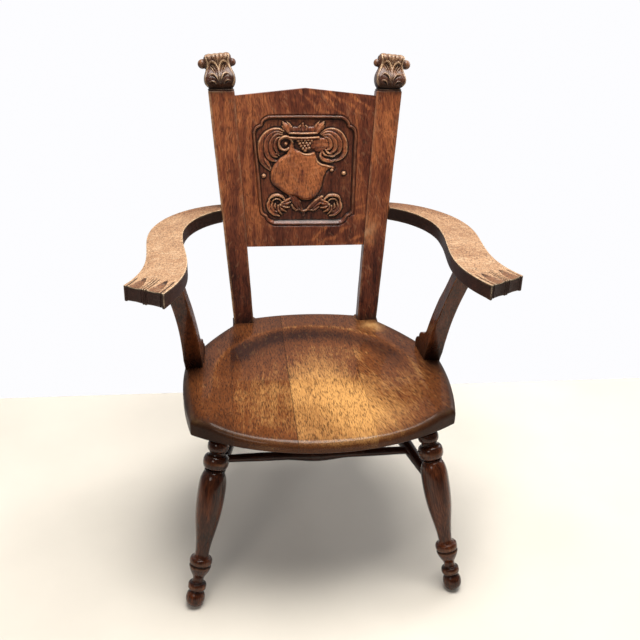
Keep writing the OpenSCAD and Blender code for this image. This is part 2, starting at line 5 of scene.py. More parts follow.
import bmesh
import bpy
import numpy as np
from mathutils import Matrix, Vector


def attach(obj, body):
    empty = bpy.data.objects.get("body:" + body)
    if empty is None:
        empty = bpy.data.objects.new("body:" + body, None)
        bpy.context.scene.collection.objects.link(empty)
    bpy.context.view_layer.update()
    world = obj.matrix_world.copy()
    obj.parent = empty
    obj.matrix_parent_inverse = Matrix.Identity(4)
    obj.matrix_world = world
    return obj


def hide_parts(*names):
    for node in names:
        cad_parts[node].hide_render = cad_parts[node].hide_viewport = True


bl_info = {
    "name": "Carved Oak Armchair",
    "version": (1, 0, 0),
    "blender": (4, 5, 0),
    "location": "3D View > Sidebar > Armchair",
    "description": "Builds a carved oak armchair piece by piece over its frame",
    "category": "Object",
}

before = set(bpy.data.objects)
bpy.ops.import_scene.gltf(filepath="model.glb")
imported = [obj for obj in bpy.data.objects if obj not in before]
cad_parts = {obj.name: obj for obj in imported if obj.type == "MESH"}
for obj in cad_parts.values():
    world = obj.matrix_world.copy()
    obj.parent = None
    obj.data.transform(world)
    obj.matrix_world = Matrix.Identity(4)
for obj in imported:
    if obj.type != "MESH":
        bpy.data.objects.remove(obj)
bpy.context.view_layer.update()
MM = 0.001

# Layout of the chair, in millimetres and radians

SEAT_TOP, SEAT_UNDER = 403.0, 363.0
SEAT_WIDE, SEAT_FRONT, SEAT_BACK = 593.0, -301.4, 250.6
SEAT_MID = SEAT_FRONT + 222
FRONT_BOW, BACK_BOW, SIDE_BOW, HIP_BOW = 499.0, 552.0, 700.0, 750.0
HIP_TURN = math.radians(33)
HIP_X = SEAT_WIDE / 2 - 60 - HIP_BOW * math.cos(HIP_TURN)
HIP_Y = SEAT_MID + 206 - HIP_BOW * math.sin(HIP_TURN)
RIM_ROUND, UNDER_ROUND, EAR_ROUND, EAR_UNDER_ROUND = 15.0, 5.0, 2.5, 2.0
EAR_PAST_POST = 3.0
DISH_MID = SEAT_FRONT + 246
DISH_REACH, DISH_DEEP = 230.0, 12.0
SEAMS = (-190.0, -62.0, 100.0)
SEAM_HALF = 0.1
GOLD_BOARD = 2

BACK_LEAN = math.radians(9.5)
POST_Y = SEAT_BACK - 52.5
POST_THICK = 32.0
POST_LEN = (952 - SEAT_TOP) / math.cos(BACK_LEAN)
POST_SLANT = math.tan(math.radians(3.5))
POST_IN, POST_OUT = 130.0, 178.0
POST_TOP_WIDE = 60.0
POST_IN_TOP = POST_IN + POST_LEN * POST_SLANT
POST_OUT_TOP = POST_IN_TOP + POST_TOP_WIDE
PANEL_LOW = (593 - SEAT_TOP) / math.cos(BACK_LEAN)
PANEL_HIGH = POST_LEN - 11
PANEL_PEAK, PANEL_INSET, PANEL_THICK = 17.0, 4.0, 22.0

ARM_TOP, ARM_THICK, ARM_WIDE = 687.0, 32.0, 89.0
ARM_RISE, ARM_TURN = math.radians(1.5), math.radians(30)

LEG_TOP = SEAT_UNDER
RAKE = math.radians(17.1)
# Legs: half the distance between their tops, place from front to back, splay, way of the rake
FRONT_LEG = (217.0, SEAT_FRONT + 89, math.radians(10.4), 1)
REAR_LEG = (126.0, SEAT_BACK - 68, math.radians(8.0), -1)
RAIL_HIGH = 224.0
FLOOR_GAP = 2.4

FINIAL_LEAN = math.radians(5.5)

# The camera stands where the photograph was taken: its place in metres, and its own axes
CAMERA_AT = (-0.1997, -1.6750, 1.3812)
CAMERA_AXES = ((0.9933, -0.1126, 0.0257), (0.0289, 0.4586, 0.8881), (-0.1118, -0.8815, 0.4588))
PHOTO_PIXELS, FOCAL_PIXELS, SHIFT_PIXELS, SENSOR_WIDE = 640, 850, -1, 36.0


# Small helpers for shapes


def bezier(a, b, c, d, n):
    """n + 1 points on a cubic curve, both ends included."""
    t = np.linspace(0, 1, n + 1)[:, None]
    a, b, c, d = (np.asarray(p, float) for p in (a, b, c, d))
    return (1 - t) ** 3 * a + 3 * t * (1 - t) ** 2 * b + 3 * t * t * (1 - t) * c + t**3 * d


def smooth(x, lo, hi):
    """0 below lo, 1 above hi, with a soft change between them."""
    t = np.clip((x - lo) / (hi - lo), 0, 1)
    return t * t * (3 - 2 * t)


def bell(x, at, width):
    """1 at a place, falling off softly on both sides of it."""
    return np.exp(-(((x - at) / width) ** 2))


def dome(x, y, at_x, at_y, r):
    """Height of a half ball of radius 1 over a round spot of radius r."""
    return np.sqrt(np.clip(1 - ((x - at_x) ** 2 + (y - at_y) ** 2) / r**2, 0, 1))


def waver(seed, *coords, size=60.0):
    """Slow random waves between about -1 and 1, the same on each run."""
    rng = np.random.default_rng(seed)
    total = 0
    for k in range(5):
        way = rng.normal(size=len(coords))
        way /= np.linalg.norm(way) + 1e-9
        phase = sum(c * w for c, w in zip(coords, way)) * (2 * math.pi * (1 + 0.7 * k) / size)
        total = total + np.sin(phase + rng.uniform(0, 6.28)) / (1 + 0.5 * k)
    return total / 2.2


def raise_mesh(name, points, quads, tris=()):
    """A mesh from points in millimetres and arrays of corner numbers."""
    mesh = bpy.data.meshes.new(name)
    points = np.asarray(points, float) * MM
    quads = np.asarray(quads, np.int32).reshape(-1, 4)
    tris = np.asarray(tris, np.int32).reshape(-1, 3)
    mesh.vertices.add(len(points))
    mesh.vertices.foreach_set("co", points.astype(np.float32).ravel())
    corners = np.concatenate([quads.ravel(), tris.ravel()])
    mesh.loops.add(len(corners))
    mesh.loops.foreach_set("vertex_index", corners)
    starts = np.concatenate([np.arange(len(quads)) * 4, len(quads) * 4 + np.arange(len(tris)) * 3])
    mesh.polygons.add(len(starts))
    mesh.polygons.foreach_set("loop_start", starts.astype(np.int32))
    mesh.update(calc_edges=True)
    mesh.validate()
    return mesh


def set_values(mesh, name, values):
    """Stores one number or one vector for each point of the mesh."""
    values = np.asarray(values, np.float32)
    flat = values.ndim == 1
    layer = mesh.attributes.new(name, "FLOAT" if flat else "FLOAT_VECTOR", "POINT")
    layer.data.foreach_set("value" if flat else "vector", values.ravel())


def points_of(mesh):
    """The mesh's points in millimetres."""
    co = np.zeros(len(mesh.vertices) * 3, np.float32)
    mesh.vertices.foreach_get("co", co)
    return co.reshape(-1, 3).astype(float) / MM


def seat_piece(name, mesh, material, nodes=(), crease=35.0):
    """Puts a finished mesh in the scene as a piece of the chair."""
    obj = bpy.data.objects.new(name, mesh)
    bpy.context.scene.collection.objects.link(obj)
    mesh.materials.clear()
    mesh.materials.append(material)
    mesh.shade_smooth()
    mesh.set_sharp_from_angle(angle=math.radians(crease))
    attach(obj, "root")
    if nodes:
        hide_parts(*nodes)
    return obj


def mirrored(points, quads):
    """The same skin on the other side of the chair, with its faces still outwards."""
    return points * np.array([-1.0, 1.0, 1.0]), quads[:, ::-1]


def box_skin(us, vs, ws):
    """Points and quads of a box's six sides, with a line at each given value."""
    shape = (len(us), len(vs), len(ws))
    faces = []
    for axis in range(3):
        a, b = (axis + 1) % 3, (axis + 2) % 3
        p, q = np.meshgrid(np.arange(shape[a] - 1), np.arange(shape[b] - 1), indexing="ij")
        for end in (0, shape[axis] - 1):
            loop = []
            for da, db in ((0, 0), (1, 0), (1, 1), (0, 1)):
                at = [None] * 3
                at[axis], at[a], at[b] = np.full(p.shape, end), p + da, q + db
                i, j, k = at
                loop.append(((i * shape[1] + j) * shape[2] + k).ravel())
            faces.append(np.stack(loop if end else loop[::-1], axis=1))
    faces = np.concatenate(faces)
    used, flat = np.unique(faces, return_inverse=True)
    i, rest = np.divmod(used, shape[1] * shape[2])
    j, k = np.divmod(rest, shape[2])
    points = np.stack([np.asarray(us)[i], np.asarray(vs)[j], np.asarray(ws)[k]], axis=1)
    return points.astype(float), flat.reshape(-1, 4)


def eased_lines(lo, hi, r, n, steps=4):
    """Lines from lo to hi: close ones in the rounded edges and n spans between them."""
    edge = r - r * np.tan(np.linspace(math.pi / 4, 0, steps + 1))
    return np.concatenate([lo + edge[:-1], np.linspace(lo + r, hi - r, n + 1), (hi - edge[:-1])[::-1]])


def ease(points, lo, hi, r):
    """Rounds all edges and corners of a box skin by the radius r."""
    lo, hi = np.asarray(lo, float), np.asarray(hi, float)
    core = np.clip(points, lo + r, hi - r)
    out = points - core
    far = np.linalg.norm(out, axis=1, keepdims=True)
    return core + out * (r / np.maximum(far, 1e-9)) * (far > 1e-9)


def edge_wear(points, lo, hi, reach):
    """1 on the edges of a box skin, falling to 0 within the reach."""
    near = np.sort(np.minimum(points - lo, hi - points), axis=1)
    return 1 - smooth(near[:, 1], 0, reach)


def lean_back(x, y, s):
    """From the leaning frame of the back to the chair."""
    c, n = math.cos(BACK_LEAN), math.sin(BACK_LEAN)
    return np.stack([x, POST_Y + y * c + s * n, SEAT_TOP - y * n + s * c], axis=1)


def post_edge(s):
    """Distance of a post's inner edge from the middle of the chair, at s up the leaning frame."""
    return POST_IN + s * POST_SLANT


def stroke(x, y, path, width, high, side=0.0):
    """Height of a ridge along a path. Its crest lies to the left (side above 0) or right of the path."""
    path = np.asarray(path, float)
    n = len(path)
    wide, tall = (np.interp(np.arange(n), np.linspace(0, n - 1, len(row)), row) for row in (width, high))
    best = np.zeros_like(x)
    reach = wide.max()
    near = (
        (x > path[:, 0].min() - reach)
        & (x < path[:, 0].max() + reach)
        & (y > path[:, 1].min() - reach)
        & (y < path[:, 1].max() + reach)
    )
    px, py, found = x[near], y[near], best[near]
    for k in range(n - 1):
        ax, ay = path[k]
        dx, dy = path[k + 1] - path[k]
        t = np.clip(((px - ax) * dx + (py - ay) * dy) / max(dx * dx + dy * dy, 1e-9), 0, 1)
        off = np.hypot(px - ax - t * dx, py - ay - t * dy)
        w = wide[k] + t * (wide[k + 1] - wide[k])
        h = tall[k] + t * (tall[k + 1] - tall[k])
        left = np.sign(dx * (py - ay) - dy * (px - ax))
        o = left * off / w - side
        q = np.abs(o) / np.where(o > 0, 1 - side, 1 + side)
        shape = np.sqrt(np.clip(1 - q**2, 0, 1))
        if side:
            gentle = (1 - 0.34 * q) * np.sqrt(np.clip(1 - q**6, 0, 1))
            shape = np.where(o * side < 0, gentle * (q < 1), shape)
        found = np.maximum(found, h * shape * (off < w))
    best[near] = found
    return best


def bend(points, n=8):
    """A smooth path through the given points."""
    p = np.asarray(points, float)
    q = np.vstack([2 * p[0] - p[1], p, 2 * p[-1] - p[-2]])
    out = []
    for i in range(1, len(q) - 2):
        for t in np.arange(n) / n:
            a, b, c, d = q[i - 1], q[i], q[i + 1], q[i + 2]
            square, cube = 2 * a - 5 * b + 4 * c - d, 3 * b - a - 3 * c + d
            out.append(0.5 * (2 * b + (c - a) * t + square * t**2 + cube * t**3))
    out.append(p[-1])
    return np.array(out)


def inside_depth(x, y, outline):
    """Distance inside a closed outline, negative outside it."""
    outline = np.asarray(outline, float)
    off = np.full(x.shape, 1e9)
    turns = np.zeros(x.shape, bool)
    for (ax, ay), (bx, by) in zip(outline, np.roll(outline, -1, axis=0)):
        dx, dy = bx - ax, by - ay
        t = np.clip(((x - ax) * dx + (y - ay) * dy) / max(dx * dx + dy * dy, 1e-9), 0, 1)
        off = np.minimum(off, np.hypot(x - ax - t * dx, y - ay - t * dy))
        if dy:
            turns ^= ((ay > y) != (by > y)) & (x < dx * (y - ay) / dy + ax)
    return np.where(turns, off, -off)


# Small helpers for node trees


def put(tree, kind, ins=(), out=0, **settings):
    """Adds a node, sets or links its inputs and returns one of its outputs."""
    node = tree.nodes.new(kind)
    for key, value in settings.items():
        setattr(node, key, value)
    for key, value in ins.items() if isinstance(ins, dict) else enumerate(ins):
        if isinstance(value, bpy.types.NodeSocket):
            tree.links.new(value, node.inputs[key])
        elif value is not None:
            node.inputs[key].default_value = value
    return node.outputs[out]


def math_node(tree, how, *ins, clamp=False):
    """A sum, product or other simple reckoning in a node tree."""
    return put(tree, "ShaderNodeMath", ins, operation=how, use_clamp=clamp)


def blend(tree, amount, low, high, how="MIX"):
    """A mix of two colours."""
    return put(tree, "ShaderNodeMix", {0: amount, 6: low, 7: high}, 2, data_type="RGBA", blend_type=how)


def remap(tree, value, lo, hi, to_lo=0.0, to_hi=1.0, soft=True):
    """A value moved from one range to another."""
    how = "SMOOTHSTEP" if soft else "LINEAR"
    return put(tree, "ShaderNodeMapRange", (value, lo, hi, to_lo, to_hi), interpolation_type=how)


def ramp(tree, value, stops):
    """A colour ramp from a list of (place, colour)."""
    node = tree.nodes.new("ShaderNodeValToRGB")
    tree.links.new(value, node.inputs[0])
    points = node.color_ramp.elements
    for (place, colour), i in zip(stops, range(len(stops))):
        point = points[i] if i < 2 else points.new(place)
        point.position, point.color = place, (*colour, 1)
    return node.outputs[0]


def group_of(kind, name, ins, outs):
    """An empty node group with named sockets."""
    tree = bpy.data.node_groups.new(name, kind)
    for text, socket, default in ins:
        made = tree.interface.new_socket(name=text, in_out="INPUT", socket_type=socket)
        if default is not None:
            made.default_value = default
    for text, socket in outs:
        tree.interface.new_socket(name=text, in_out="OUTPUT", socket_type=socket)
    return tree, tree.nodes.new("NodeGroupInput"), tree.nodes.new("NodeGroupOutput")


def use_group(tree, group, ins):
    """Adds a node group, sets or links its inputs and returns its outputs."""
    node = tree.nodes.new("ShaderNodeGroup")
    node.node_tree = group
    for key, value in ins.items():
        if isinstance(value, bpy.types.NodeSocket):
            tree.links.new(value, node.inputs[key])
        else:
            node.inputs[key].default_value = value
    return node.outputs


# Finishes

FLOAT, VECTOR, COLOUR = "NodeSocketFloat", "NodeSocketVector", "NodeSocketColor"


def oak_figure():
    """Group: fibres, pores, growth rings and ray flecks of oak along the third coordinate."""
    if "Oak figure" in bpy.data.node_groups:
        return bpy.data.node_groups["Oak figure"]
    tree, start, end = group_of(
        "ShaderNodeTree",
        "Oak figure",
        [
            ("Place", VECTOR, None),
            ("Waves", FLOAT, 0.006),
            ("Dash Length", FLOAT, 12.0),
            ("Fleck Turn", FLOAT, 0.5),
            ("Streaks", FLOAT, 0.6),
            ("Clouds", FLOAT, 0.6),
        ],
        [("Tone", FLOAT), ("Fibre", FLOAT), ("Pore", FLOAT), ("Fleck", FLOAT), ("Height", FLOAT)],
    )
    place, waves, dash, turn, streaks, clouds = start.outputs[:6]
    slow = put(tree, "ShaderNodeTexNoise", {"Vector": place, "Scale": 9.0, "Detail": 2.0}, 1)
    shift = put(tree, "ShaderNodeVectorMath", (slow, (0.5, 0.5, 0.5)), operation="SUBTRACT")
    shift = put(tree, "ShaderNodeVectorMath", {0: shift, 3: waves}, operation="SCALE")
    bent = put(tree, "ShaderNodeVectorMath", (place, shift), operation="ADD")
    cut = tree.nodes.new("ShaderNodeSeparateXYZ")
    tree.links.new(bent, cut.inputs[0])
    x, y, z = cut.outputs

    def stretched(fx, fy, fz):
        parts = [math_node(tree, "MULTIPLY", c, f) for c, f in ((x, fx), (y, fy), (z, fz))]
        return put(tree, "ShaderNodeCombineXYZ", parts)

    def noise(where, detail, scale=1.0, **more):
        return put(tree, "ShaderNodeTexNoise", {"Vector": where, "Scale": scale, "Detail": detail, **more})

    def spread_by(value, amount, strength):
        centred = math_node(tree, "SUBTRACT", value, 0.5)
        return math_node(tree, "MULTIPLY", centred, math_node(tree, "MULTIPLY", amount, strength))

    fibre = noise(stretched(420.0, 420.0, math_node(tree, "DIVIDE", 620.0, dash)), 4.0)
    pore = noise(stretched(620.0, 620.0, math_node(tree, "DIVIDE", 900.0, dash)), 2.0)
    pore = remap(tree, pore, 0.50, 0.62)
    ring = noise(stretched(70.0, 70.0, 3.0), 3.0)
    cloud = noise(place, 3.0, 7.0)
    tone = math_node(tree, "ADD", spread_by(ring, streaks, 2.6), spread_by(cloud, clouds, 2.0))
    tone = math_node(tree, "ADD", tone, 0.5)
    crossed = put(tree, "ShaderNodeVectorRotate", {"Vector": bent, "Angle": turn}, rotation_type="Y_AXIS")
    ray = put(tree, "ShaderNodeVectorMath", (crossed, (150.0, 260.0, 38.0)), operation="MULTIPLY")
    fleck = remap(tree, noise(ray, 1.5, Roughness=0.4), 0.60, 0.70)
    raised, sunk = math_node(tree, "MULTIPLY", fibre, 0.6), math_node(tree, "MULTIPLY", pore, 0.7)
    high = math_node(tree, "SUBTRACT", raised, sunk)
    for k, out in enumerate((tone, fibre, pore, fleck, high)):
        tree.links.new(out, end.inputs[k])
    return tree


def worn_and_shaded_finish():
    """Group: blotches, pale worn edges and dark hollows over a stained colour. Its masks lay real rubbing and
    soiling and also painted highlights and painted shade.
    """
    if "Worn_Shaded finish" in bpy.data.node_groups:
        return bpy.data.node_groups["Worn_Shaded finish"]
    tree, start, end = group_of(
        "ShaderNodeTree",
        "Worn_Shaded finish",
        [
            ("Colour", COLOUR, (0.2, 0.1, 0.05, 1)),
            ("Rubbed_Lit Colour", COLOUR, (0.5, 0.3, 0.15, 1)),
            ("Grime Colour", COLOUR, (0.02, 0.01, 0.006, 1)),
            ("Place", VECTOR, None),
            ("Wear_Highlight", FLOAT, 0.0),
            ("Grime_Shade", FLOAT, 0.0),
        ],
        [("Colour", COLOUR), ("Roughness", FLOAT)],
    )
    colour, rubbed_and_lit, grime_colour, place, wear_and_highlight, grime_and_shade = start.outputs[:6]
    patch = put(tree, "ShaderNodeTexNoise", {"Vector": place, "Scale": 60.0, "Detail": 4.0})
    loose = put(tree, "ShaderNodeTexNoise", {"Vector": place, "Scale": 14.0, "Detail": 3.0})
    # Pale colour for worn places and for painted highlights
    amount = math_node(tree, "MULTIPLY", wear_and_highlight, remap(tree, patch, 0.35, 0.65, 0.35, 1.0), clamp=True)
    out = blend(tree, amount, colour, rubbed_and_lit)
    # Dark colour for soiled places and for painted shade
    dirt_and_shade = math_node(tree, "MULTIPLY", grime_and_shade, remap(tree, loose, 0.25, 0.7, 0.7, 1.0), clamp=True)
    out = blend(tree, dirt_and_shade, out, grime_colour)
    dull = math_node(tree, "MULTIPLY", dirt_and_shade, 0.18)
    rough = math_node(tree, "ADD", remap(tree, loose, 0.3, 0.7, -0.05, 0.07), dull)
    tree.links.new(out, end.inputs[0])
    tree.links.new(rough, end.inputs[1])
    return tree


def new_material(name):
    """A new material with its node tree and its shader."""
    material = bpy.data.materials.new(name)
    material.use_nodes = True
    return material, material.node_tree, material.node_tree.nodes["Principled BSDF"]


def oak(name, dark, middle, light, rubbed_and_lit, grime_and_shade, rough=0.4, coat=0.0, specular=0.4, pores=0.5, flecks=0.3,
        waves=0.006, dash=12.0, turn=0.5, bump=0.25, fibre=0.5, streaks=0.5, clouds=0.5,
        stain=(0.02, 0.009, 0.006)):
    """A stained and polished oak. It reads its piece's attributes grain_at, polish, stain, wear and grime;
    polish, wear and grime hold painted highlights, painted sheen and painted shade besides the wood's own
    tone, rubbing and soiling.
    """
    if name in bpy.data.materials:
        return bpy.data.materials[name]
    material, tree, shader = new_material(name)
    place = put(tree, "ShaderNodeAttribute", out="Vector", attribute_name="grain_at")
    wear_and_highlight, dirt_and_shade, tone_and_light, dark_side = (
        put(tree, "ShaderNodeAttribute", out="Fac", attribute_name=text)
        for text in ("wear_and_highlight", "grime_and_shade", "tone_and_light", "stain")
    )
    wood = {"Place": place, "Waves": waves, "Dash Length": dash, "Fleck Turn": turn, "Streaks": streaks,
            "Clouds": clouds}
    figure = use_group(tree, oak_figure(), wood)
    fibres = remap(tree, figure["Fibre"], 0.3, 0.7, -fibre / 2, fibre / 2, soft=False)
    tone = math_node(tree, "ADD", math_node(tree, "ADD", figure["Tone"], fibres), tone_and_light, clamp=True)
    colour = ramp(tree, tone, [(0.0, dark), (1.0, light), (0.5, middle)])
    colour = blend(tree, math_node(tree, "MULTIPLY", figure["Fleck"], flecks), colour, (*rubbed_and_lit, 1))
    colour = blend(tree, math_node(tree, "MULTIPLY", figure["Pore"], pores), colour, (*grime_and_shade, 1))
    stained = ramp(tree, tone, [(0.2, [c * 0.6 for c in stain]), (0.8, [c * 2.2 for c in stain])])
    colour = blend(tree, dark_side, colour, stained)
    surface = {"Colour": colour, "Rubbed_Lit Colour": (*rubbed_and_lit, 1), "Grime Colour": (*grime_and_shade, 1), "Place": place,
               "Wear_Highlight": wear_and_highlight, "Grime_Shade": dirt_and_shade}
    # worn: the colour with worn places and painted highlights laid on, then soiling and painted shade
    worn = use_group(tree, worn_and_shaded_finish(), surface)
    tree.links.new(worn["Colour"], shader.inputs["Base Color"])
    tree.links.new(math_node(tree, "ADD", worn["Roughness"], rough, clamp=True), shader.inputs["Roughness"])
    shader.inputs["Specular IOR Level"].default_value = specular
    clean = math_node(tree, "SUBTRACT", 1.0, math_node(tree, "MULTIPLY", dirt_and_shade, 0.85), clamp=True)
    tree.links.new(math_node(tree, "MULTIPLY", clean, coat), shader.inputs["Coat Weight"])
    shader.inputs["Coat Roughness"].default_value = 0.07
    lift = put(tree, "ShaderNodeBump", {"Strength": bump, "Distance": 0.0006, "Height": figure["Height"]})
    tree.links.new(lift, shader.inputs["Normal"])
    return material


def roughen(tree, shader, height, strength):
    """Small bumps from a height."""
    lift = put(tree, "ShaderNodeBump", {"Strength": strength, "Distance": 0.0003, "Height": height})
    tree.links.new(lift, shader.inputs["Normal"])


def plain_wood():
    """Bare beech for dowels, on the CAD pieces' own object coordinates."""
    material, tree, shader = new_material("Dowel beech")
    place = put(tree, "ShaderNodeTexCoord", out="Object")
    fine = put(tree, "ShaderNodeTexNoise", {"Vector": place, "Scale": 420.0, "Detail": 5.0})
    slow = put(tree, "ShaderNodeTexNoise", {"Vector": place, "Scale": 30.0, "Detail": 2.0})
    colour = ramp(tree, fine, [(0.3, (0.34, 0.19, 0.09)), (0.7, (0.56, 0.36, 0.18))])
    colour = blend(tree, remap(tree, slow, 0.4, 0.8, 0.0, 0.35), colour, (0.22, 0.11, 0.05, 1))
    tree.links.new(colour, shader.inputs["Base Color"])
    tree.links.new(remap(tree, fine, 0.3, 0.7, 0.5, 0.65), shader.inputs["Roughness"])
    roughen(tree, shader, fine, 0.2)
    return material


def glide_plastic():
    """Pale plastic of the glides, scuffed and dusty from the floor."""
    material, tree, shader = new_material("Glide plastic")
    place = put(tree, "ShaderNodeTexCoord", out="Object")
    fine = {"Vector": place, "Scale": 260.0, "Detail": 6.0, "Roughness": 0.7}
    scuff = put(tree, "ShaderNodeTexNoise", fine)
    colour = ramp(tree, scuff, [(0.35, (0.38, 0.31, 0.22)), (0.6, (0.62, 0.54, 0.42))])
    tree.links.new(colour, shader.inputs["Base Color"])
    tree.links.new(remap(tree, scuff, 0.3, 0.7, 0.45, 0.7), shader.inputs["Roughness"])
    roughen(tree, shader, scuff, 0.3)
    return material


def seat_oak():
    """Warm brown saddle, gold where its attribute says so: worn, and at the front partly a painted sheen."""
    return oak(
        "Saddle oak",
        dark=(0.032, 0.009, 0.004),
        middle=bpy.context.scene.armchair.seat_colour,
        light=(0.59, 0.30, 0.095),
        rubbed_and_lit=(0.62, 0.36, 0.14),
        grime_and_shade=(0.013, 0.005, 0.0035),
        rough=0.28, coat=0.30, specular=0.08, bump=0.35,
        pores=0.66, flecks=0.04, dash=11.0, turn=0.2, fibre=0.24, streaks=0.12, clouds=0.40,
    )


def back_oak():
    """Red-brown posts and panel, with strong fibres."""
    return oak(
        "Back oak",
        dark=(0.052, 0.013, 0.009),
        middle=bpy.context.scene.armchair.back_colour,
        light=(0.47, 0.155, 0.055),
        rubbed_and_lit=(0.56, 0.33, 0.18),
        grime_and_shade=(0.010, 0.005, 0.004),
        rough=0.33, coat=0.24, specular=0.32,
        pores=0.54, flecks=0.14, dash=14.0, waves=0.03, turn=0.6, fibre=0.46, clouds=0.62,
    )


def carved_oak():
    """Nearly black finials with pale leaf edges, worn and with painted highlights."""
    return oak(
        "Carved oak",
        dark=(0.026, 0.009, 0.006),
        middle=(0.082, 0.030, 0.017),
        light=(0.25, 0.115, 0.056),
        rubbed_and_lit=(0.66, 0.45, 0.27),
        grime_and_shade=(0.010, 0.005, 0.003),
        rough=0.32, coat=0.14, specular=0.3, bump=0.2,
        pores=0.25, flecks=0.05, dash=20.0, streaks=0.3,
    )


def arm_oak():
    """Arms, bleached to tan on top and still stained dark on their sides."""
    return oak(
        "Arm oak",
        dark=(0.22, 0.098, 0.044),
        middle=bpy.context.scene.armchair.arm_colour,
        light=(0.62, 0.43, 0.27),
        rubbed_and_lit=(0.70, 0.53, 0.35),
        grime_and_shade=(0.022, 0.010, 0.007),
        stain=(0.026, 0.009, 0.006),
        rough=0.5, specular=0.3, bump=0.3,
        pores=0.62, flecks=0.25, dash=4.0, turn=0.9, streaks=0.15, clouds=0.18,
    )


def dark_oak():
    """Very dark and glossy legs, stretchers and arm supports."""
    return oak(
        "Turned oak",
        dark=(0.012, 0.0035, 0.002),
        middle=bpy.context.scene.armchair.turned_colour,
        light=(0.150, 0.040, 0.0130),
        rubbed_and_lit=(0.24, 0.10, 0.045),
        grime_and_shade=(0.005, 0.0025, 0.002),
        rough=0.13, coat=0.26, specular=0.18, bump=0.12,
        pores=0.3, flecks=0.06, dash=24.0, streaks=0.35, clouds=0.6,
    )


# Seat


def round_over(depth, r):
    """How far a rounded edge lies below the flat, at this depth inside the outline."""
    return r - np.sqrt(np.clip(r * r - np.clip(r - depth, 0, r) ** 2, 0, None))


def seat_depth(x, y):
    """Distance inside the seat's four bowed edges, and inside the square ear behind each post."""
    side = SEAT_WIDE / 2
    ax = np.abs(x)
    bowed = np.minimum.reduce([
        FRONT_BOW - np.hypot(x, y - (SEAT_FRONT + FRONT_BOW)),
        BACK_BOW - np.hypot(x, y - (SEAT_BACK - BACK_BOW)),
        SIDE_BOW - np.hypot(ax + SIDE_BOW - side, y - (SEAT_MID + 26)),
        HIP_BOW - np.hypot(ax - HIP_X, y - HIP_Y),
    ])
    ear = np.minimum.reduce([
        ax - POST_IN + EAR_PAST_POST,
        POST_OUT + EAR_PAST_POST - ax,
        y - POST_Y + EAR_PAST_POST,
        POST_Y + POST_THICK + EAR_PAST_POST + 0.4 - y,
    ])
    return bowed, ear


def dish_reach(x, y):
    """0 along the middle of the saddle hollow and 1 on its rounded crest."""
    return np.hypot(x, np.maximum(y - DISH_MID, 0)) / DISH_REACH


def dish_depth(x, y):
    """Depth of the saddle hollow under the seat's flat rim."""
    q = dish_reach(x, y)
    deep = DISH_DEEP * (1 - np.clip(q, 0, 1.2) ** 5) + np.maximum(DISH_MID - y, 0) * 0.0087
    return 0.5 * (deep + np.sqrt(deep * deep + 1.2)) - 0.1


def seat_top(x, y):
    """Height of the seat's upper face, with its rounded rim and ears."""
    bowed, ear = seat_depth(x, y)
    flat = SEAT_TOP - dish_depth(x, y)
    rim = np.where(bowed > -1e-6, flat - round_over(bowed, RIM_ROUND), -1e9)
    return np.maximum(rim, np.where(ear > -1e-6, SEAT_TOP - round_over(ear, EAR_ROUND), -1e9))


def seat_bottom(x, y):
    """Height of the seat's lower face, with its rounded edge."""
    bowed, ear = seat_depth(x, y)
    ear_round = np.where(ear > -1e-6, round_over(ear, EAR_UNDER_ROUND), 1e9)
    return SEAT_UNDER + np.minimum(round_over(bowed, UNDER_ROUND), ear_round)


def seat_skin():
    """The whole seat: rings of points from the middle of the top, round the edge, to the middle below."""
    middle = -30.0
    angle = np.linspace(0, 2 * math.pi, 720, endpoint=False)
    ways = np.stack([np.cos(angle), np.sin(angle)])
    lo, hi = np.full(angle.shape, 90.0), np.full(angle.shape, 420.0)
    for _ in range(40):
        t = (lo + hi) / 2
        out = np.maximum(*seat_depth(ways[0] * t, middle + ways[1] * t)) < 0
        hi, lo = np.where(out, t, hi), np.where(out, lo, t)
    reach = lo
    rim = RIM_ROUND * (1 - np.sin(np.linspace(0, math.pi / 2, 12)))
    inner = np.linspace(0.015, 1, 62, endpoint=False)
    rings = [(reach - RIM_ROUND) * k for k in inner] + [reach - i for i in rim]
    low_rim = UNDER_ROUND * (1 - np.sin(np.linspace(0, math.pi / 2, 6)))
    low_rings = [reach - i for i in low_rim][::-1]
    low_rings += [(reach - UNDER_ROUND) * k for k in np.linspace(0.02, 1, 20, endpoint=False)][::-1]
    layers = []
    for r in rings:
        x, y = ways[0] * r, middle + ways[1] * r
        layers.append(np.stack([x, y, seat_top(x, y)], axis=1))
    under = []
    for r in low_rings:
        x, y = ways[0] * r, middle + ways[1] * r
        under.append(np.stack([x, y, seat_bottom(x, y)], axis=1))
    for k in (1 / 3, 2 / 3):
        layers.append(layers[len(rings) - 1] * (1 - k) + under[0] * k)
    layers += under
    n = len(angle)
    hollow = float(seat_top(np.zeros(1), np.full(1, middle))[0])
    points = np.concatenate(layers + [[[0, middle, hollow]], [[0, middle, SEAT_UNDER]]])
    i, j = np.meshgrid(np.arange(len(layers) - 1), np.arange(n), indexing="ij")
    a, b = i * n + j, i * n + (j + 1) % n
    quads = np.stack([a, a + n, b + n, b], axis=-1).reshape(-1, 4)
    j = np.arange(n)
    top, low = len(points) - 2, len(points) - 1
    last = (len(layers) - 1) * n
    tris = np.concatenate([
        np.stack([np.full(n, top), j, (j + 1) % n], axis=1),
        np.stack([np.full(n, low), last + (j + 1) % n, last + j], axis=1),
    ])
    return points, quads, tris


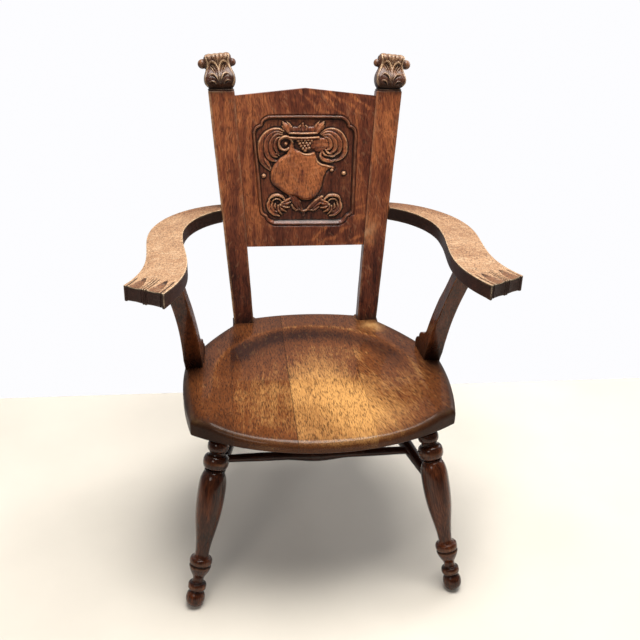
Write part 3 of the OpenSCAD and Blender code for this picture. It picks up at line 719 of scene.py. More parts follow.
def cut_board(mesh, lo, hi):
    """Keeps the part of the seat between two seams, with its cut faces closed."""
    work = bmesh.new()
    work.from_mesh(mesh)
    for at, side in ((lo, -1), (hi, 1)):
        if abs(at) < SEAT_WIDE:
            geometry = work.verts[:] + work.edges[:] + work.faces[:]
            place, way = (at * MM, 0, 0), (side, 0, 0)
            cut = bmesh.ops.bisect_plane(
                work, geom=geometry, dist=1e-7, plane_co=place, plane_no=way, clear_outer=True
            )
            edges = [e for e in cut["geom_cut"] if isinstance(e, bmesh.types.BMEdge)]
            bmesh.ops.edgeloop_fill(work, edges=edges)
    bmesh.ops.recalc_face_normals(work, faces=work.faces[:])
    board = bpy.data.meshes.new("board")
    work.to_mesh(board)
    work.free()
    return board


# The four seat boards from left to right: lightness, and how far the grain turns
BOARD_SHADES = (-0.03, -0.05, 0.13, 0.09)
BOARD_TILTS = (0.05, -0.03, 0.02, 0.30)


def board_tone_and_light(x, y, z, number):
    """Lightness of a seat board: gold where it is sat on, with a painted sheen at the front of the hollow and
    a painted highlight along its crest, dark behind the hollow and at the corners.
    """
    ax, top = np.abs(x), smooth(z, 372, 392)
    sat = bell(x, 10, 190) * bell(y, -120, 190)
    # front: worn gold, partly a painted sheen at the front of the hollow
    front = bell(x, 40, 95) * bell(y, -190, 95)
    crest = dish_reach(x, y)
    tone_and_light = 0.24 * sat + 0.36 * front + BOARD_SHADES[number]
    # Painted highlight: a thin light line along the crest of the hollow
    tone_and_light += 0.22 * bell(crest, 1.0, 0.03) * smooth(y, -120, 0)
    tone_and_light -= 0.36 * bell(crest, 0.86, 0.10) * smooth(y, -60, 100)
    tone_and_light -= 0.16 * smooth(ax, 90, 220) * smooth(y, -160, 120)
    tone_and_light -= 0.09 * smooth(y, -100, 60) * (number == GOLD_BOARD)
    tone_and_light -= 0.20 * smooth(ax, 150, 235) * smooth(-y, 170, 260)
    edge = 0.20 * (1 - smooth(ax, 120, 230)) * smooth(-y, 200, 260) - 0.12
    return tone_and_light * top + edge * (1 - top) - 0.12


def board_wear_and_highlight(x, y, z, rim):
    """Rubbing along the rim and on a patch behind the right side of the hollow, and a painted highlight on
    the top edge of each front corner.
    """
    wear_and_highlight = 0.10 * bell(rim, 6, 5) * smooth(z, 366, 392)
    # Painted highlight on the top edge of each front corner
    wear_and_highlight += 0.3 * bell(np.abs(x), 266, 12) * bell(rim, 5, 3) * (y < -190)
    wear_and_highlight += 0.55 * bell(x, 165, 26) * bell(y, 168, 24) * smooth(z, 372, 392)
    return np.clip(wear_and_highlight, 0, 1)


def board_grime_and_shade(x, y, z, rim):
    """Darker along the rim, dark seams, and painted shade round the feet of the arm supports and the posts
    and on the underside.
    """
    ax = np.abs(x)
    near = np.min([np.abs(x - at) for at in SEAMS], axis=0)
    seam = 0.25 + 0.4 * (np.abs(x - SEAMS[1]) < 5)
    under = 0.30 + 0.60 * smooth(ax, 110, 230) + 0.4 * (1 - smooth(z, 360, 370))
    grime_and_shade = np.maximum.reduce([
        # Darker along the rim, most at the sides
        0.85 * (1 - smooth(rim, 3, 30)) * (0.25 + 0.75 * smooth(ax / 260, 0.3, 0.95)),
        # Painted shadow round the foot of each arm support
        0.95 * bell(ax, 274, 28) * bell(y, -18, 46),
        # Painted shade round the foot of each post
        0.7 * bell(ax, 154, 38) * bell(y, 210, 22),
        seam * bell(near, 0, 0.9),
        # Painted shade on the underside and the lower part of the edge
        under * (1 - smooth(z, 366, 384)),
    ])
    return np.clip(grime_and_shade, 0, 1)


def finish_board(board, number):
    """Grain, polish, wear and grime of one seat board."""
    x, y, z = points_of(board).T
    rim = np.clip(seat_depth(x, y)[0], 0, None)
    c, s = math.cos(BOARD_TILTS[number]), math.sin(BOARD_TILTS[number])
    grain = np.stack([x * c + y * s + number * 613, z + number * 97, y * c - x * s + number * 371], axis=1)
    set_values(board, "grain_at", grain * MM)
    set_values(board, "tone_and_light", board_tone_and_light(x, y, z, number))
    set_values(board, "wear_and_highlight", board_wear_and_highlight(x, y, z, rim))
    set_values(board, "grime_and_shade", board_grime_and_shade(x, y, z, rim))


# Turned members


def turning_tree():
    """Geometry nodes: turns an open profile (x = radius, z = height) into a closed lathe form."""
    if "Turning" in bpy.data.node_groups:
        return bpy.data.node_groups["Turning"]
    tree, start, end = group_of(
        "GeometryNodeTree",
        "Turning",
        [("Profile", "NodeSocketGeometry", None), ("Segments", "NodeSocketInt", 64),
         ("Finish", "NodeSocketMaterial", None)],
        [("Geometry", "NodeSocketGeometry")],
    )
    tree.is_modifier = True
    profile, segments, finish = start.outputs[:3]
    count = put(tree, "GeometryNodeAttributeDomainSize", (profile,), 0, component="MESH")
    around = put(tree, "ShaderNodeMath", (segments, 1.0), operation="ADD")
    grid = tree.nodes.new("GeometryNodeMeshGrid")
    tree.links.new(around, grid.inputs["Vertices X"])
    tree.links.new(count, grid.inputs["Vertices Y"])
    cut = tree.nodes.new("ShaderNodeSeparateXYZ")
    tree.links.new(grid.outputs["UV Map"], cut.inputs[0])
    last = math_node(tree, "SUBTRACT", count, 1.0)
    ring = math_node(tree, "ROUND", math_node(tree, "MULTIPLY", cut.outputs[1], last))
    sample = tree.nodes.new("GeometryNodeSampleIndex")
    sample.data_type = "FLOAT_VECTOR"
    tree.links.new(profile, sample.inputs["Geometry"])
    tree.links.new(put(tree, "GeometryNodeInputPosition"), sample.inputs["Value"])
    tree.links.new(ring, sample.inputs["Index"])
    place = tree.nodes.new("ShaderNodeSeparateXYZ")
    tree.links.new(sample.outputs[0], place.inputs[0])
    angle = math_node(tree, "MULTIPLY", cut.outputs[0], 2 * math.pi)
    x = math_node(tree, "MULTIPLY", place.outputs[0], math_node(tree, "COSINE", angle))
    y = math_node(tree, "MULTIPLY", place.outputs[0], math_node(tree, "SINE", angle))
    spot = put(tree, "ShaderNodeCombineXYZ", (x, y, place.outputs[2]))
    moved = put(tree, "GeometryNodeSetPosition", {"Geometry": grid.outputs["Mesh"], "Position": spot})
    welded = put(tree, "GeometryNodeMergeByDistance", {"Geometry": moved, "Distance": 1e-6})
    real = put(tree, "GeometryNodeRealizeInstances", (welded,))
    done = put(tree, "GeometryNodeSetMaterial", {"Geometry": real, "Material": finish})
    tree.links.new(done, end.inputs[0])
    return tree


def run_tree(mesh, tree, name, **values):
    """Runs a geometry tree on a mesh and returns the result as a plain mesh."""
    obj = bpy.data.objects.new(name, mesh)
    bpy.context.scene.collection.objects.link(obj)
    modifier = obj.modifiers.new("Nodes", "NODES")
    modifier.node_group = tree
    sockets = {s.name: s.identifier for s in tree.interface.items_tree if s.in_out == "INPUT"}
    for key, value in values.items():
        modifier[sockets[key.replace("_", " ")]] = value
    graph = bpy.context.evaluated_depsgraph_get()
    made = bpy.data.meshes.new_from_object(obj.evaluated_get(graph))
    obj.modifiers.clear()
    bpy.data.objects.remove(obj)
    return made


def turned(name, profile, material, segments=72):
    """A lathe form from (height, radius) pairs in millimetres, along z."""
    line = bpy.data.meshes.new(name + "_profile")
    points = [(r * MM, 0, h * MM) for h, r in profile]
    line.from_pydata(points, [(i, i + 1) for i in range(len(profile) - 1)], [])
    mesh = run_tree(line, turning_tree(), name, Segments=segments, Finish=material)
    bpy.data.meshes.remove(line)
    work = bmesh.new()
    work.from_mesh(mesh)
    bmesh.ops.recalc_face_normals(work, faces=work.faces[:])
    work.to_mesh(mesh)
    work.free()
    return mesh


def bead(h0, h1, base, peak, n=12):
    """Half-round bead between two heights."""
    middle, half = (h0 + h1) / 2, (h1 - h0) / 2
    angles = np.linspace(0, math.pi, n + 1)
    return [(middle - half * math.cos(a), base + (peak - base) * math.sin(a) ** 0.75) for a in angles]


def leg_profile(length):
    """Turned pattern of a leg, from the ball foot up to the seat. Its heights count from the leg's top."""

    def down(*rows):
        return [(length - h, r) for h, r in rows]

    def curve(*points, n):
        return [tuple(p) for p in bezier(*points, n)]

    angles = np.linspace(-math.pi / 2, 0.85, 26)
    rows = [(21 + 19 * math.sin(a), 20 * max(math.cos(a), 0.0) ** 0.62) for a in angles]
    rows += [(36.4, 14.6), (39.2, 14.4)]
    rows += bead(39.6, 55.4, 15.4, 19.4, 14)
    rows += [(56.0, 13.4), (57.2, 12.0), (59, 11.5), (64, 11.4), (67, 11.9)]
    rows += curve((67.5, 12.2), (73, 13.5), (80, 21.0), (93.5, 23.2), n=14)
    rows += [(94.6, 22.6), (95.0, 21.4), (96.2, 21.4)]
    rows += bead(96.6, 112.4, 20.0, 23.8, 14)
    rows += [(113.2, 17.2), (115.5, 16.2), (117.0, 14.6)]
    rows += curve((118, 14.2), (167, 16.2), *down((200, 30), (118, 29)), n=40)[:-1]
    rows += curve(*down((118, 29), (98, 28.6), (88, 25), (82, 20.6)), n=14)
    rows += down((81.2, 19.6), (80, 19.4), (79.4, 20.8), (78, 21.6), (76.6, 20.8))
    rows += bead(length - 75.4, length - 45.6, 17.0, 27.0, 22)
    rows += down((44.6, 17.6), (42, 16.6), (38.5, 16.8))
    rows += bead(length - 37.5, length - 15.5, 15.5, 22.2, 18)
    rows += down((14, 16.4), (-6, 16.8), (-8, 0.0))
    return [(h - length, r) for h, r in rows]


def leg_frame(side, leg):
    """Turns a leg's own axis into its splayed and raked place."""
    x, y, splay, way = leg
    up = Vector((-side * math.tan(splay), way * math.tan(RAKE), 1)).normalized()
    across = Vector((0, 1, 0)).cross(up).normalized()
    turn = Matrix((across, up.cross(across), up)).transposed().to_4x4()
    return Matrix.Translation(Vector((side * x, y, LEG_TOP)) * MM) @ turn


def place_turned(name, mesh, matrix, node, pale_at=(), dark_at=(), dirt_and_shade=0.0):
    """Dresses a turned member along its own axis and moves it to its place."""
    p = points_of(mesh)
    shift = np.array([hash_of(name) * 300, hash_of(name + "y") * 300, 0])
    set_values(mesh, "grain_at", (p + shift) * MM)
    x, y, z = p.T
    wear_and_highlight = np.zeros(len(p))
    # Painted highlights: pale rings on the crests of the beads
    for h, peak in pale_at:
        wear_and_highlight = np.maximum(wear_and_highlight, 0.5 * bell(z, h, 3) * smooth(np.hypot(x, y), peak - 2, peak))
    # A darkening over the whole member; on the stretchers it is painted shade under the seat
    grime_and_shade = np.full(len(p), dirt_and_shade)
    for h in dark_at:
        grime_and_shade = np.maximum(grime_and_shade, 0.8 * bell(z, h, 2.2))
    set_values(mesh, "wear_and_highlight", wear_and_highlight)
    set_values(mesh, "grime_and_shade", grime_and_shade)
    set_values(mesh, "tone_and_light", waver(len(name), z, x, size=160) * 0.06)
    mesh.transform(matrix)
    return seat_piece(name, mesh, dark_oak(), [node], crease=40)


def hash_of(text):
    """A fixed number between 0 and 1 for a name."""
    return (sum(ord(c) * (i + 3) for i, c in enumerate(text)) % 97) / 97


def rail_ends():
    """Where the axes of a front and a rear leg pass the height of the stretchers."""
    drop = LEG_TOP - RAIL_HIGH
    front = [FRONT_LEG[0] + drop * math.tan(FRONT_LEG[2]), FRONT_LEG[1] - drop * math.tan(RAKE)]
    rear = [REAR_LEG[0] + drop * math.tan(REAR_LEG[2]), REAR_LEG[1] + drop * math.tan(RAKE)]
    return np.array(front), np.array(rear)


def side_rail_profile(length):
    """Plain ends that swell slowly to the middle."""
    lo, hi, thin, thick, plain = 6.0, length - 6.0, 9.5, 15.5, 34.0
    rows = [(lo, 0), (lo, thin), (lo + plain, thin)]
    for k in np.linspace(0.02, 0.98, 60):
        swell = (thick - thin) * math.sin(math.pi * k) ** 0.75
        rows.append((lo + plain + k * (hi - lo - 2 * plain), thin + swell))
    return rows + [(hi - plain, thin), (hi, thin), (hi, 0)]


def cross_rail_profile(half):
    """A straight rail with a swell in its middle."""
    thin, thick, reach, plain, near = 9.0, 15.5, 72.0, 30.0, half * 0.6
    rows = [(-half, 0), (-half, thin), (-half + plain, thin), (-near, thin + 1)]
    for k in np.linspace(-1, 1, 49):
        rows.append((k * reach, thin + 1 + (thick - thin - 1) * math.cos(math.pi / 2 * k) ** 1.6))
    return rows + [(near, thin + 1), (half - plain, thin), (half, thin), (half, 0)]


# Back posts and panel


POST_SKIN_WIDE, POST_ROUND, POST_SUNK = 54.0, 2.2, 6.0


def post_skin():
    """A tapering post with softly worn edges, in the leaning frame."""
    lo, hi = np.array([0.0, 0.0, -POST_SUNK]), np.array([POST_SKIN_WIDE, POST_THICK, POST_LEN])
    lines = [eased_lines(a, b, POST_ROUND, n) for a, b, n in zip(lo, hi, (12, 6, 150))]
    skin, quads = box_skin(*lines)
    wear_and_highlight = edge_wear(skin, lo, hi, 5.0)
    across, y, s = ease(skin, lo, hi, POST_ROUND).T
    foot = POST_OUT - POST_IN
    wide = foot + (POST_TOP_WIDE - foot) * s / POST_LEN
    x = post_edge(s) + across / POST_SKIN_WIDE * wide
    x = x + 0.25 * waver(3, s, y, size=190)
    y = y + 0.2 * waver(4, s, across, size=170)
    return np.stack([x, y, s], axis=1), quads, wear_and_highlight


def finish_post(post, side, p, wear_and_highlight):
    """Grain, polish, wear and grime of a post. The right one has a painted sheen on one patch of its face;
    the left one has a painted highlight along its outer edge and is a shade lighter as a painted sheen.
    """
    x, y, s = p.T
    left, right = side < 0, side > 0
    across = (x - post_edge(s)) / POST_SKIN_WIDE
    # Painted sheen: a light patch on the face of the right post
    rubbed_and_lit = bell(s, 226, 34) * (1 - smooth(across, 0.35, 0.75)) * (y < 1) * right
    tone_and_light = 0.42 * rubbed_and_lit + 0.05 * waver(8 + side, s, x, size=140) + 0.10 * smooth(s, 240, 420)
    # Edges worn; on the left post the outer edge also gets a painted highlight
    edge = wear_and_highlight * (0.30 + 0.25 * waver(5 + side, s, size=120) + 0.9 * (across > 0.5) * left)
    grime_and_shade = 0.8 * (1 - smooth(s, 0, 26)) + 0.4 * smooth(s, POST_LEN - 14, POST_LEN - 2)
    grime_and_shade = np.maximum(grime_and_shade, 0.5 * smooth(y, 14, 30))
    set_values(post, "grain_at", (p + (side * 410, 0, side * 77)) * MM)
    # The left post a shade lighter as a painted sheen
    set_values(post, "tone_and_light", tone_and_light - 0.28 * (1 - smooth(s, 60, 300)) + 0.02 * left)
    set_values(post, "wear_and_highlight", np.clip(edge + 0.50 * rubbed_and_lit**2, 0, 1))
    set_values(post, "grime_and_shade", np.clip(grime_and_shade, 0, 1))


def panel_top(x):
    """Height of the panel's top edge, which rises to a peak in the middle."""
    return PANEL_HIGH + PANEL_PEAK * (1 - np.abs(x) / post_edge(PANEL_HIGH))


# Outlines on the panel: places across and up
FIELD_RIDGE = [
    (-114.6, 181.3), (-110.3, 120.2), (-108.3, 91.1), (-106.3, 82.9), (-102.4, 77.7), (-96.2, 74.1),
    (-93.9, 67.5), (-88.6, 61.4), (-80.5, 56.9), (-69.8, 54.5), (0.8, 53.4), (72, 52.7), (82.9, 54.2),
    (91.1, 57.9), (96, 64.2), (98.9, 71), (106.3, 74.5), (111.4, 80.2), (114, 90), (117.5, 231.1),
    (118.7, 254.6), (117.9, 264.5), (116.4, 272.8), (112.8, 279), (107.7, 282.9), (102.3, 284.7),
    (100.9, 289.9), (97.6, 295.6), (92.8, 300.7), (86.1, 303.8), (76.8, 305.4), (-2.2, 306.3),
    (-80.5, 306), (-88.3, 304.7), (-94.8, 302.2), (-100.1, 297.9), (-103.3, 292.6), (-104.9, 287),
    (-110.6, 284.7), (-115.6, 281.4), (-119.4, 276.3), (-121.3, 269.7), (-121.7, 262.3),
]
SHIELD = [
    (-33.8, 250.3), (-30.6, 242.6), (-28, 232.7), (-17, 226.9), (-6.9, 221.7), (5.3, 220),
    (19.1, 223.1), (23.4, 214.1), (27.7, 202.1), (37.3, 196.2), (53.4, 192.4), (66.3, 189.1),
    (67.4, 184.3), (59.3, 187), (50.3, 182.9), (43.9, 171.8), (40.3, 161.2), (37.7, 150.6),
    (36.6, 145.6), (31.8, 132.8), (23.3, 121.6), (13.1, 114.2), (1.5, 112.2), (-10.1, 114),
    (-20, 118.9), (-29.4, 122.3), (-39.6, 124.6), (-50.3, 130), (-63.5, 139.8), (-75.7, 149),
    (-81.4, 159.1), (-82.3, 171.3), (-80.1, 183.6), (-73.6, 196.6), (-63, 208.3), (-51.3, 216.3),
    (-42.8, 223.5),
]
# Feathers, scroll, crown and leaves: path, half widths, heights over the ground, side of the crest
CARVED_LOBES = [
    ([(-52.3, 273.3), (-65.3, 276.9), (-81, 273.1), (-94.7, 262.4), (-103.3, 247.1),
      (-105.6, 229), (-103.8, 210.8), (-96.4, 196.4), (-85.2, 183.7)],
     (1.5, 4, 6, 7, 7, 5.5, 2), (4, 6, 7, 6, 3), -0.55),
    ([(-101.4, 214.7), (-92.3, 202.9), (-82.5, 185.3)], (2, 3.6, 1.5), (4, 6, 3), -0.4),
    ([(-54.4, 268.1), (-68, 270.8), (-81.7, 263.7), (-90.4, 250.3), (-93, 234.1),
      (-90, 218.5), (-81.7, 208), (-67, 203.5)],
     (1.5, 4, 6, 6, 4.5, 1.5), (4, 6.5, 7.5, 6, 3), -0.5),
    ([(-55.5, 264), (-68.1, 264.9), (-77.6, 254.6), (-82.4, 240.5),
      (-81, 227.6), (-74.8, 217.6), (-68.5, 213.9)],
     (1.5, 4, 5.5, 5, 1.5), (4, 7, 7.5, 6, 3), -0.5),
    ([(-57.6, 258.9), (-66.8, 256.4), (-72.4, 244.3), (-70.5, 231.4), (-63.7, 221.7)],
     (1.5, 3.6, 4, 1.5), (4, 6.5, 6.5, 3), -0.4),
    ([(-75.1, 215.8), (-68.4, 221.8), (-62.7, 215.7)], (1.5, 2.5, 1.2), (3, 4.5, 2.5), 0),
    ([(-35.2, 235), (-32.5, 248.5), (-40.8, 258.8), (-52.4, 259.4), (-61.3, 252.8),
      (-63.5, 242.5), (-58.9, 233.1), (-48.9, 229.4), (-40.4, 233.5)],
     (3, 3.6, 3.6, 3.0), (7.5, 8, 7.5, 6), -0.2),
    ([(35, 266.7), (47.7, 274.9), (64.1, 275.4), (79, 267.6), (89.4, 252.5),
      (92.9, 235.5), (91.5, 220.6), (83.6, 210.2), (71.1, 203.4)],
     (1.2, 3, 5, 5.5, 5, 3.5, 1.5), (3, 5, 6, 5.5, 3), 0.55),
    ([(37.2, 265.2), (50.9, 269.7), (65.8, 264.3), (76.6, 252), (80.5, 238.2), (78, 225.2), (69, 217.6)],
     (1.5, 4, 6, 6, 4, 1.5), (4, 6.5, 8, 6.5, 3), 0.45),
    ([(40.4, 262.6), (53.6, 263.5), (64.3, 253.9), (69.8, 240.9), (66.8, 228.6), (56.7, 221.9)],
     (1.5, 4, 5.5, 4.5, 1.5), (4, 7, 8, 6, 3), 0.45),
    ([(43.6, 258.9), (53.7, 255.3), (58.6, 244.9), (56.6, 234.5), (47, 227.7)],
     (1.5, 3.6, 4.4, 1.5), (4, 7, 7, 3), 0.4),
    ([(37.5, 226.2), (35.4, 214.2), (44, 206.3), (59, 203), (73.7, 206)],
     (1.6, 3.4, 3.6, 1.4), (3, 5.5, 5, 2.5), -0.4),
    ([(38.8, 228), (43.4, 218.9), (53.6, 214.9)], (1.6, 3, 1.4), (3.5, 5, 3), 0),
    ([(45.9, 229.3), (53.5, 221.9), (64.7, 219.2)], (1.6, 3.2, 1.4), (3.5, 5.5, 3), 0),
    ([(53.5, 215.6), (62.9, 214), (72.8, 218.1)], (1.4, 2.6, 1.2), (3, 4.5, 2.5), 0),
    ([(16.1, 249.8), (33.3, 249.7), (50.5, 250.6)], (7, 8, 7), (4, 4.6, 4), 0),
    ([(17.5, 239.9), (34.7, 240.8), (51.2, 240.7)], (9, 10, 8), (3.6, 4.4, 4), 0),
    ([(26.8, 230.7), (37.4, 232), (44.8, 234)], (6, 6, 4), (3, 3.6, 3), 0),
    ([(-38.7, 276.8), (-6.4, 274.6), (26.5, 277.1)], (7, 7, 7), (3.4, 3.4, 3.4), 0),
    ([(-38.2, 268.6), (-6.4, 267.7), (26, 268.6)], (2.6, 3.0, 2.6), (7, 7.4, 7), 0),
    ([(-38.7, 257.5), (-6.4, 256.3), (29.8, 257.7)], (3.4, 3.6, 3.2), (8.2, 8.6, 8), 0.25),
    ([(-38.7, 273.2), (-46, 283), (-53.2, 293.7)], (5, 6, 1.8), (6, 7, 4), 0.3),
    ([(-36.1, 274.2), (-36, 282.7), (-39.1, 290.6)], (4, 4.6, 1.6), (5, 5.5, 3.5), 0),
    ([(-42.9, 275.8), (-50.2, 278.9), (-55.4, 284.5)], (3.4, 4, 1.4), (4.5, 5, 3), 0),
    ([(-45.4, 286.5), (-41.2, 290.1), (-44.3, 294.7)], (2, 2.6, 1.2), (4, 4.5, 3), 0),
    ([(26.5, 273.5), (34.4, 283.2), (41.7, 293.9)], (5, 6, 1.8), (6, 7, 4), -0.3),
    ([(24.4, 274.5), (23.9, 283.2), (27, 291.4)], (4, 4.6, 1.6), (5, 5.5, 3.5), 0),
    ([(30.2, 276), (37.6, 279.1), (43.4, 284.7)], (3.4, 4, 1.4), (4.5, 5, 3), 0),
    ([(33.3, 286.8), (28.6, 290.4), (31.7, 295)], (2, 2.6, 1.2), (4, 4.5, 3), 0),
    ([(-6.7, 274.9), (-6.7, 282.6), (-7.2, 288.4)], (5.5, 4.4, 2.6), (5.5, 5, 4), 0),
    ([(-14, 275.7), (-15.6, 281.3), (-12.4, 285.9)], (3, 3.4, 1.4), (4.5, 4, 3), 0),
    ([(1.2, 275.6), (2.8, 281.2), (-0.9, 285.9)], (3, 3.4, 1.4), (4.5, 4, 3), 0),
    ([(-88.1, 113.4), (-80, 121.3), (-68, 123.9), (-57.1, 120), (-49.6, 110.7)],
     (1.6, 2.8, 3.2, 2.8, 1.6), (5, 7, 7, 5), -0.3),
    ([(-81.2, 109), (-73.2, 114.8), (-64.6, 114.2), (-58.7, 109.3)], (1.4, 2.4, 2.4, 1.4), (5, 6, 4), -0.2),
    ([(-86.5, 112.3), (-89.6, 100.3), (-85.8, 88.6), (-76.2, 78.7), (-63.9, 74.1)],
     (2, 4, 4, 3.6, 1.6), (4.5, 6.5, 6, 3.5), -0.5),
    ([(-79.1, 107.4), (-81.9, 97.4), (-77.2, 87.9), (-68.1, 81.8)],
     (1.6, 3.2, 3.2, 1.4), (4.5, 6, 5, 3), -0.4),
    ([(-73.3, 103.5), (-73.9, 96), (-69.6, 88.9)], (1.6, 2.8, 1.2), (4, 5.5, 3), -0.3),
    ([(-57.7, 105.5), (-48.6, 108.6), (-39.4, 113.8), (-34, 119.7)],
     (2, 3.4, 3.4, 1.4), (5.5, 6.5, 5.5, 3), 0.3),
    ([(-57.7, 102.2), (-47.5, 102.1), (-36.7, 106.8)], (2, 3.6, 1.6), (5.5, 6.5, 4), 0.3),
    ([(-59.9, 99.6), (-51.9, 94.6), (-40, 93.9)], (2, 3.4, 1.4), (5.5, 6.5, 4), 0.3),
    ([(-63.1, 98.5), (-58.4, 89.3), (-47.6, 84.2)], (2, 3.4, 1.4), (5.5, 6.5, 4), 0.3),
    ([(-66.9, 99.1), (-66.4, 87.2), (-57.9, 76.8)], (1.8, 3.2, 1.4), (5, 6, 3.5), 0.3),
    ([(83.4, 109.5), (77.8, 118.8), (65.3, 122.2), (54.5, 120.7), (44.8, 112.7)],
     (1.6, 2.8, 3.2, 2.8, 1.6), (5, 7, 7, 5), 0.3),
    ([(76.4, 106.9), (69.8, 112.9), (61.1, 113.1), (54.6, 108.3)], (1.4, 2.4, 2.4, 1.4), (5, 6, 4), 0.2),
    ([(81.8, 108.4), (83.6, 96.5), (79.9, 85.6), (70.2, 76.4), (58.2, 72.8)],
     (2, 4, 4, 3.6, 1.6), (4.5, 6.5, 6, 3.5), 0.5),
    ([(74.7, 104.7), (76.5, 94.4), (71.7, 85.2), (62.5, 79.8)], (1.6, 3.2, 3.2, 1.4), (4.5, 6, 5, 3), 0.4),
    ([(68.8, 101.6), (68.9, 93.9), (64.6, 86.9)], (1.6, 2.8, 1.2), (4, 5.5, 3), 0.3),
    ([(53.5, 103.9), (44.8, 106.2), (36.1, 111.8), (30.7, 117.8)],
     (2, 3.4, 3.4, 1.4), (5.5, 6.5, 5.5, 3), -0.3),
    ([(53.6, 100.7), (43.8, 100.3), (32.9, 104.8)], (2, 3.6, 1.6), (5.5, 6.5, 4), -0.3),
    ([(55.2, 97.9), (47.1, 92.6), (35.7, 92.2)], (2, 3.4, 1.4), (5.5, 6.5, 4), -0.3),
    ([(58.5, 96.8), (53.7, 87.1), (42.9, 82.3)], (2, 3.4, 1.4), (5.5, 6.5, 4), -0.3),
    ([(62.3, 96.8), (61.9, 85.3), (53.3, 75.6)], (1.8, 3.2, 1.4), (5, 6, 3.5), -0.3),
    ([(-36.7, 121.9), (-28.7, 108.3), (-17.9, 89.8)], (3.5, 5, 2), (5, 5.5, 3.5), 0.3),
    ([(-27, 120.1), (-17.9, 106), (-8.7, 87.5)], (3.5, 5, 2), (5, 5.5, 3.5), -0.3),
    ([(-33.5, 99.7), (-28.7, 91.5), (-23.3, 86.6)], (2.5, 3.4, 1.6), (4, 4.5, 3), 0),
    ([(38.8, 118.2), (24.8, 107.6), (11.8, 95.3), (1.6, 86.2)], (3, 4.6, 4.4, 2), (5, 6, 5, 3.5), -0.3),
    ([(41.6, 107.4), (29.1, 99.9), (16.7, 89.3)], (2.6, 4, 2), (4.5, 5, 3.5), 0),
    ([(30.8, 94.5), (22.2, 88.1), (15.7, 84.9)], (2, 3, 1.5), (4, 4.5, 3), 0),
    ([(-23.9, 86.6), (-15.8, 89.2), (-5.5, 84.7), (5.9, 88.3), (18.4, 86)],
     (2, 3, 3, 3, 2), (3.5, 4.5, 4.5, 3.5), 0),
    ([(-4.9, 82.5), (-5.5, 73.2)], (4, 2.6), (3, 2), 0),
]
# Curled lips of the shield: path, half widths, heights
SHIELD_LIPS = [
    ([(-17, 226.4), (-6.9, 221.2), (5.3, 219.4), (18.6, 222)], (1.2, 2.4, 2.6, 1.4), (0.8, 1.8, 1.8, 0.8)),
    ([(22.4, 213), (28.2, 202), (37.8, 195.2), (53.4, 191.2), (65.5, 187.6)],
     (1.2, 2.4, 2.6, 2.6, 2.0), (0.8, 1.8, 2.2, 2.0, 1.2)),
]
BERRY_ROUND, BERRY_HIGH = 4.4, 7.0
BERRIES = [
    (-17.8, 251.1), (-10.3, 252.9), (-2.3, 251.9), (5.7, 252.8), (13.2, 251.4),
    (-14.5, 244.7), (-6.5, 245.5), (1.5, 245), (9, 245.4),
    (-11.2, 239.1), (-3.2, 238.6), (4.8, 239.9),
    (-6.5, 233.1), (0.6, 233), (7.2, 234.4),
    (-1.8, 228.9),
]
# Round buttons: place across and up, radius
BUTTONS = [
    (-99.6, 169.7, 5.2), (90.5, 174, 5.2), (-47.3, 244, 4.2), (62.3, 182, 4.2), (-7.1, 290, 2.8),
    (-60.2, 100, 3.8), (55.4, 100, 3.8), (-71, 84, 2.4), (66, 83, 2.4),
]
# Leaves whose crest lies this far to one side are cut this much wider
FULL_SIDE, FULL_WIDTH = 0.3, 1.28
# The groove runs at this depth inside the field's outline, so outside it
GROOVE_OUT = -3.7


def carved_ground(x, s, depth):
    """The sunk ground of the field, its cove and the moulded ridge and groove round it."""
    cove = 5.0 + 5.0 * smooth(-s, -74, -60)
    ground = -5.6 * smooth(depth, 1.2, cove) + 0.35 * waver(41, x, s, size=20) * smooth(depth, 6, 12)
    ground = ground + 0.9 * np.sqrt(np.clip(1 - (depth / 2.3) ** 2, 0, 1))
    return ground - 2.5 * bell(depth, GROOVE_OUT, 1.5) - 0.9 * bell(depth, cove + 0.5, 1.3)


def carved_leaves(x, s):
    """Height of the feathers, scroll, crown, grapes, leaves and buttons over the ground."""
    raised = np.zeros_like(x)
    for path, wide, tall, side in CARVED_LOBES:
        full = FULL_WIDTH if abs(side) >= FULL_SIDE else 1.0
        raised = np.maximum(raised, stroke(x, s, bend(path, 5), np.array(wide) * full, tall, side))
    for at_x, at_s in BERRIES:
        raised = np.maximum(raised, BERRY_HIGH * dome(x, s, at_x, at_s, BERRY_ROUND))
    for at_x, at_s, r in BUTTONS:
        raised = np.maximum(raised, (3.4 + 0.9 * r) * dome(x, s, at_x, at_s, r))
    return raised


def carve(x, s):
    """Height of the carving over the panel's face, depth in field and shield, and height of the lips."""
    depth = inside_depth(x, s, bend(FIELD_RIDGE + FIELD_RIDGE[:1], 3)[:-1])
    plate = inside_depth(x, s, bend(SHIELD + SHIELD[:1], 3)[:-1])
    raised = carved_leaves(x, s)
    across = (x + 22) * 0.96 + (s - 172) * 0.28
    flat = 7.8 + 1.4 * bell(across, 0, 8) - (across / 60) ** 2 * 2.6 + 0.25 * waver(43, x, s, size=30)
    shield = flat * np.sqrt(np.clip(1 - (1 - np.clip((plate + 1.4) / 12.5, 0, 1)) ** 2.8, 0, 1))
    lips = np.zeros_like(x)
    for path, wide, tall in SHIELD_LIPS:
        lips = np.maximum(lips, stroke(x, s, bend(path, 5), wide, tall))
    raised = np.where(plate > -1.4, np.maximum(shield, raised * (plate < 0.4)), raised) + 1.3 * lips
    inside = smooth(depth, 2.0, 7.0)
    around = 1.2 * bell(plate, -3.2, 2.0) * inside * (raised < 1.0)
    high = carved_ground(x, s, depth) + raised * inside - around
    return np.where(depth > -8, high, 0.0), depth, plate, lips


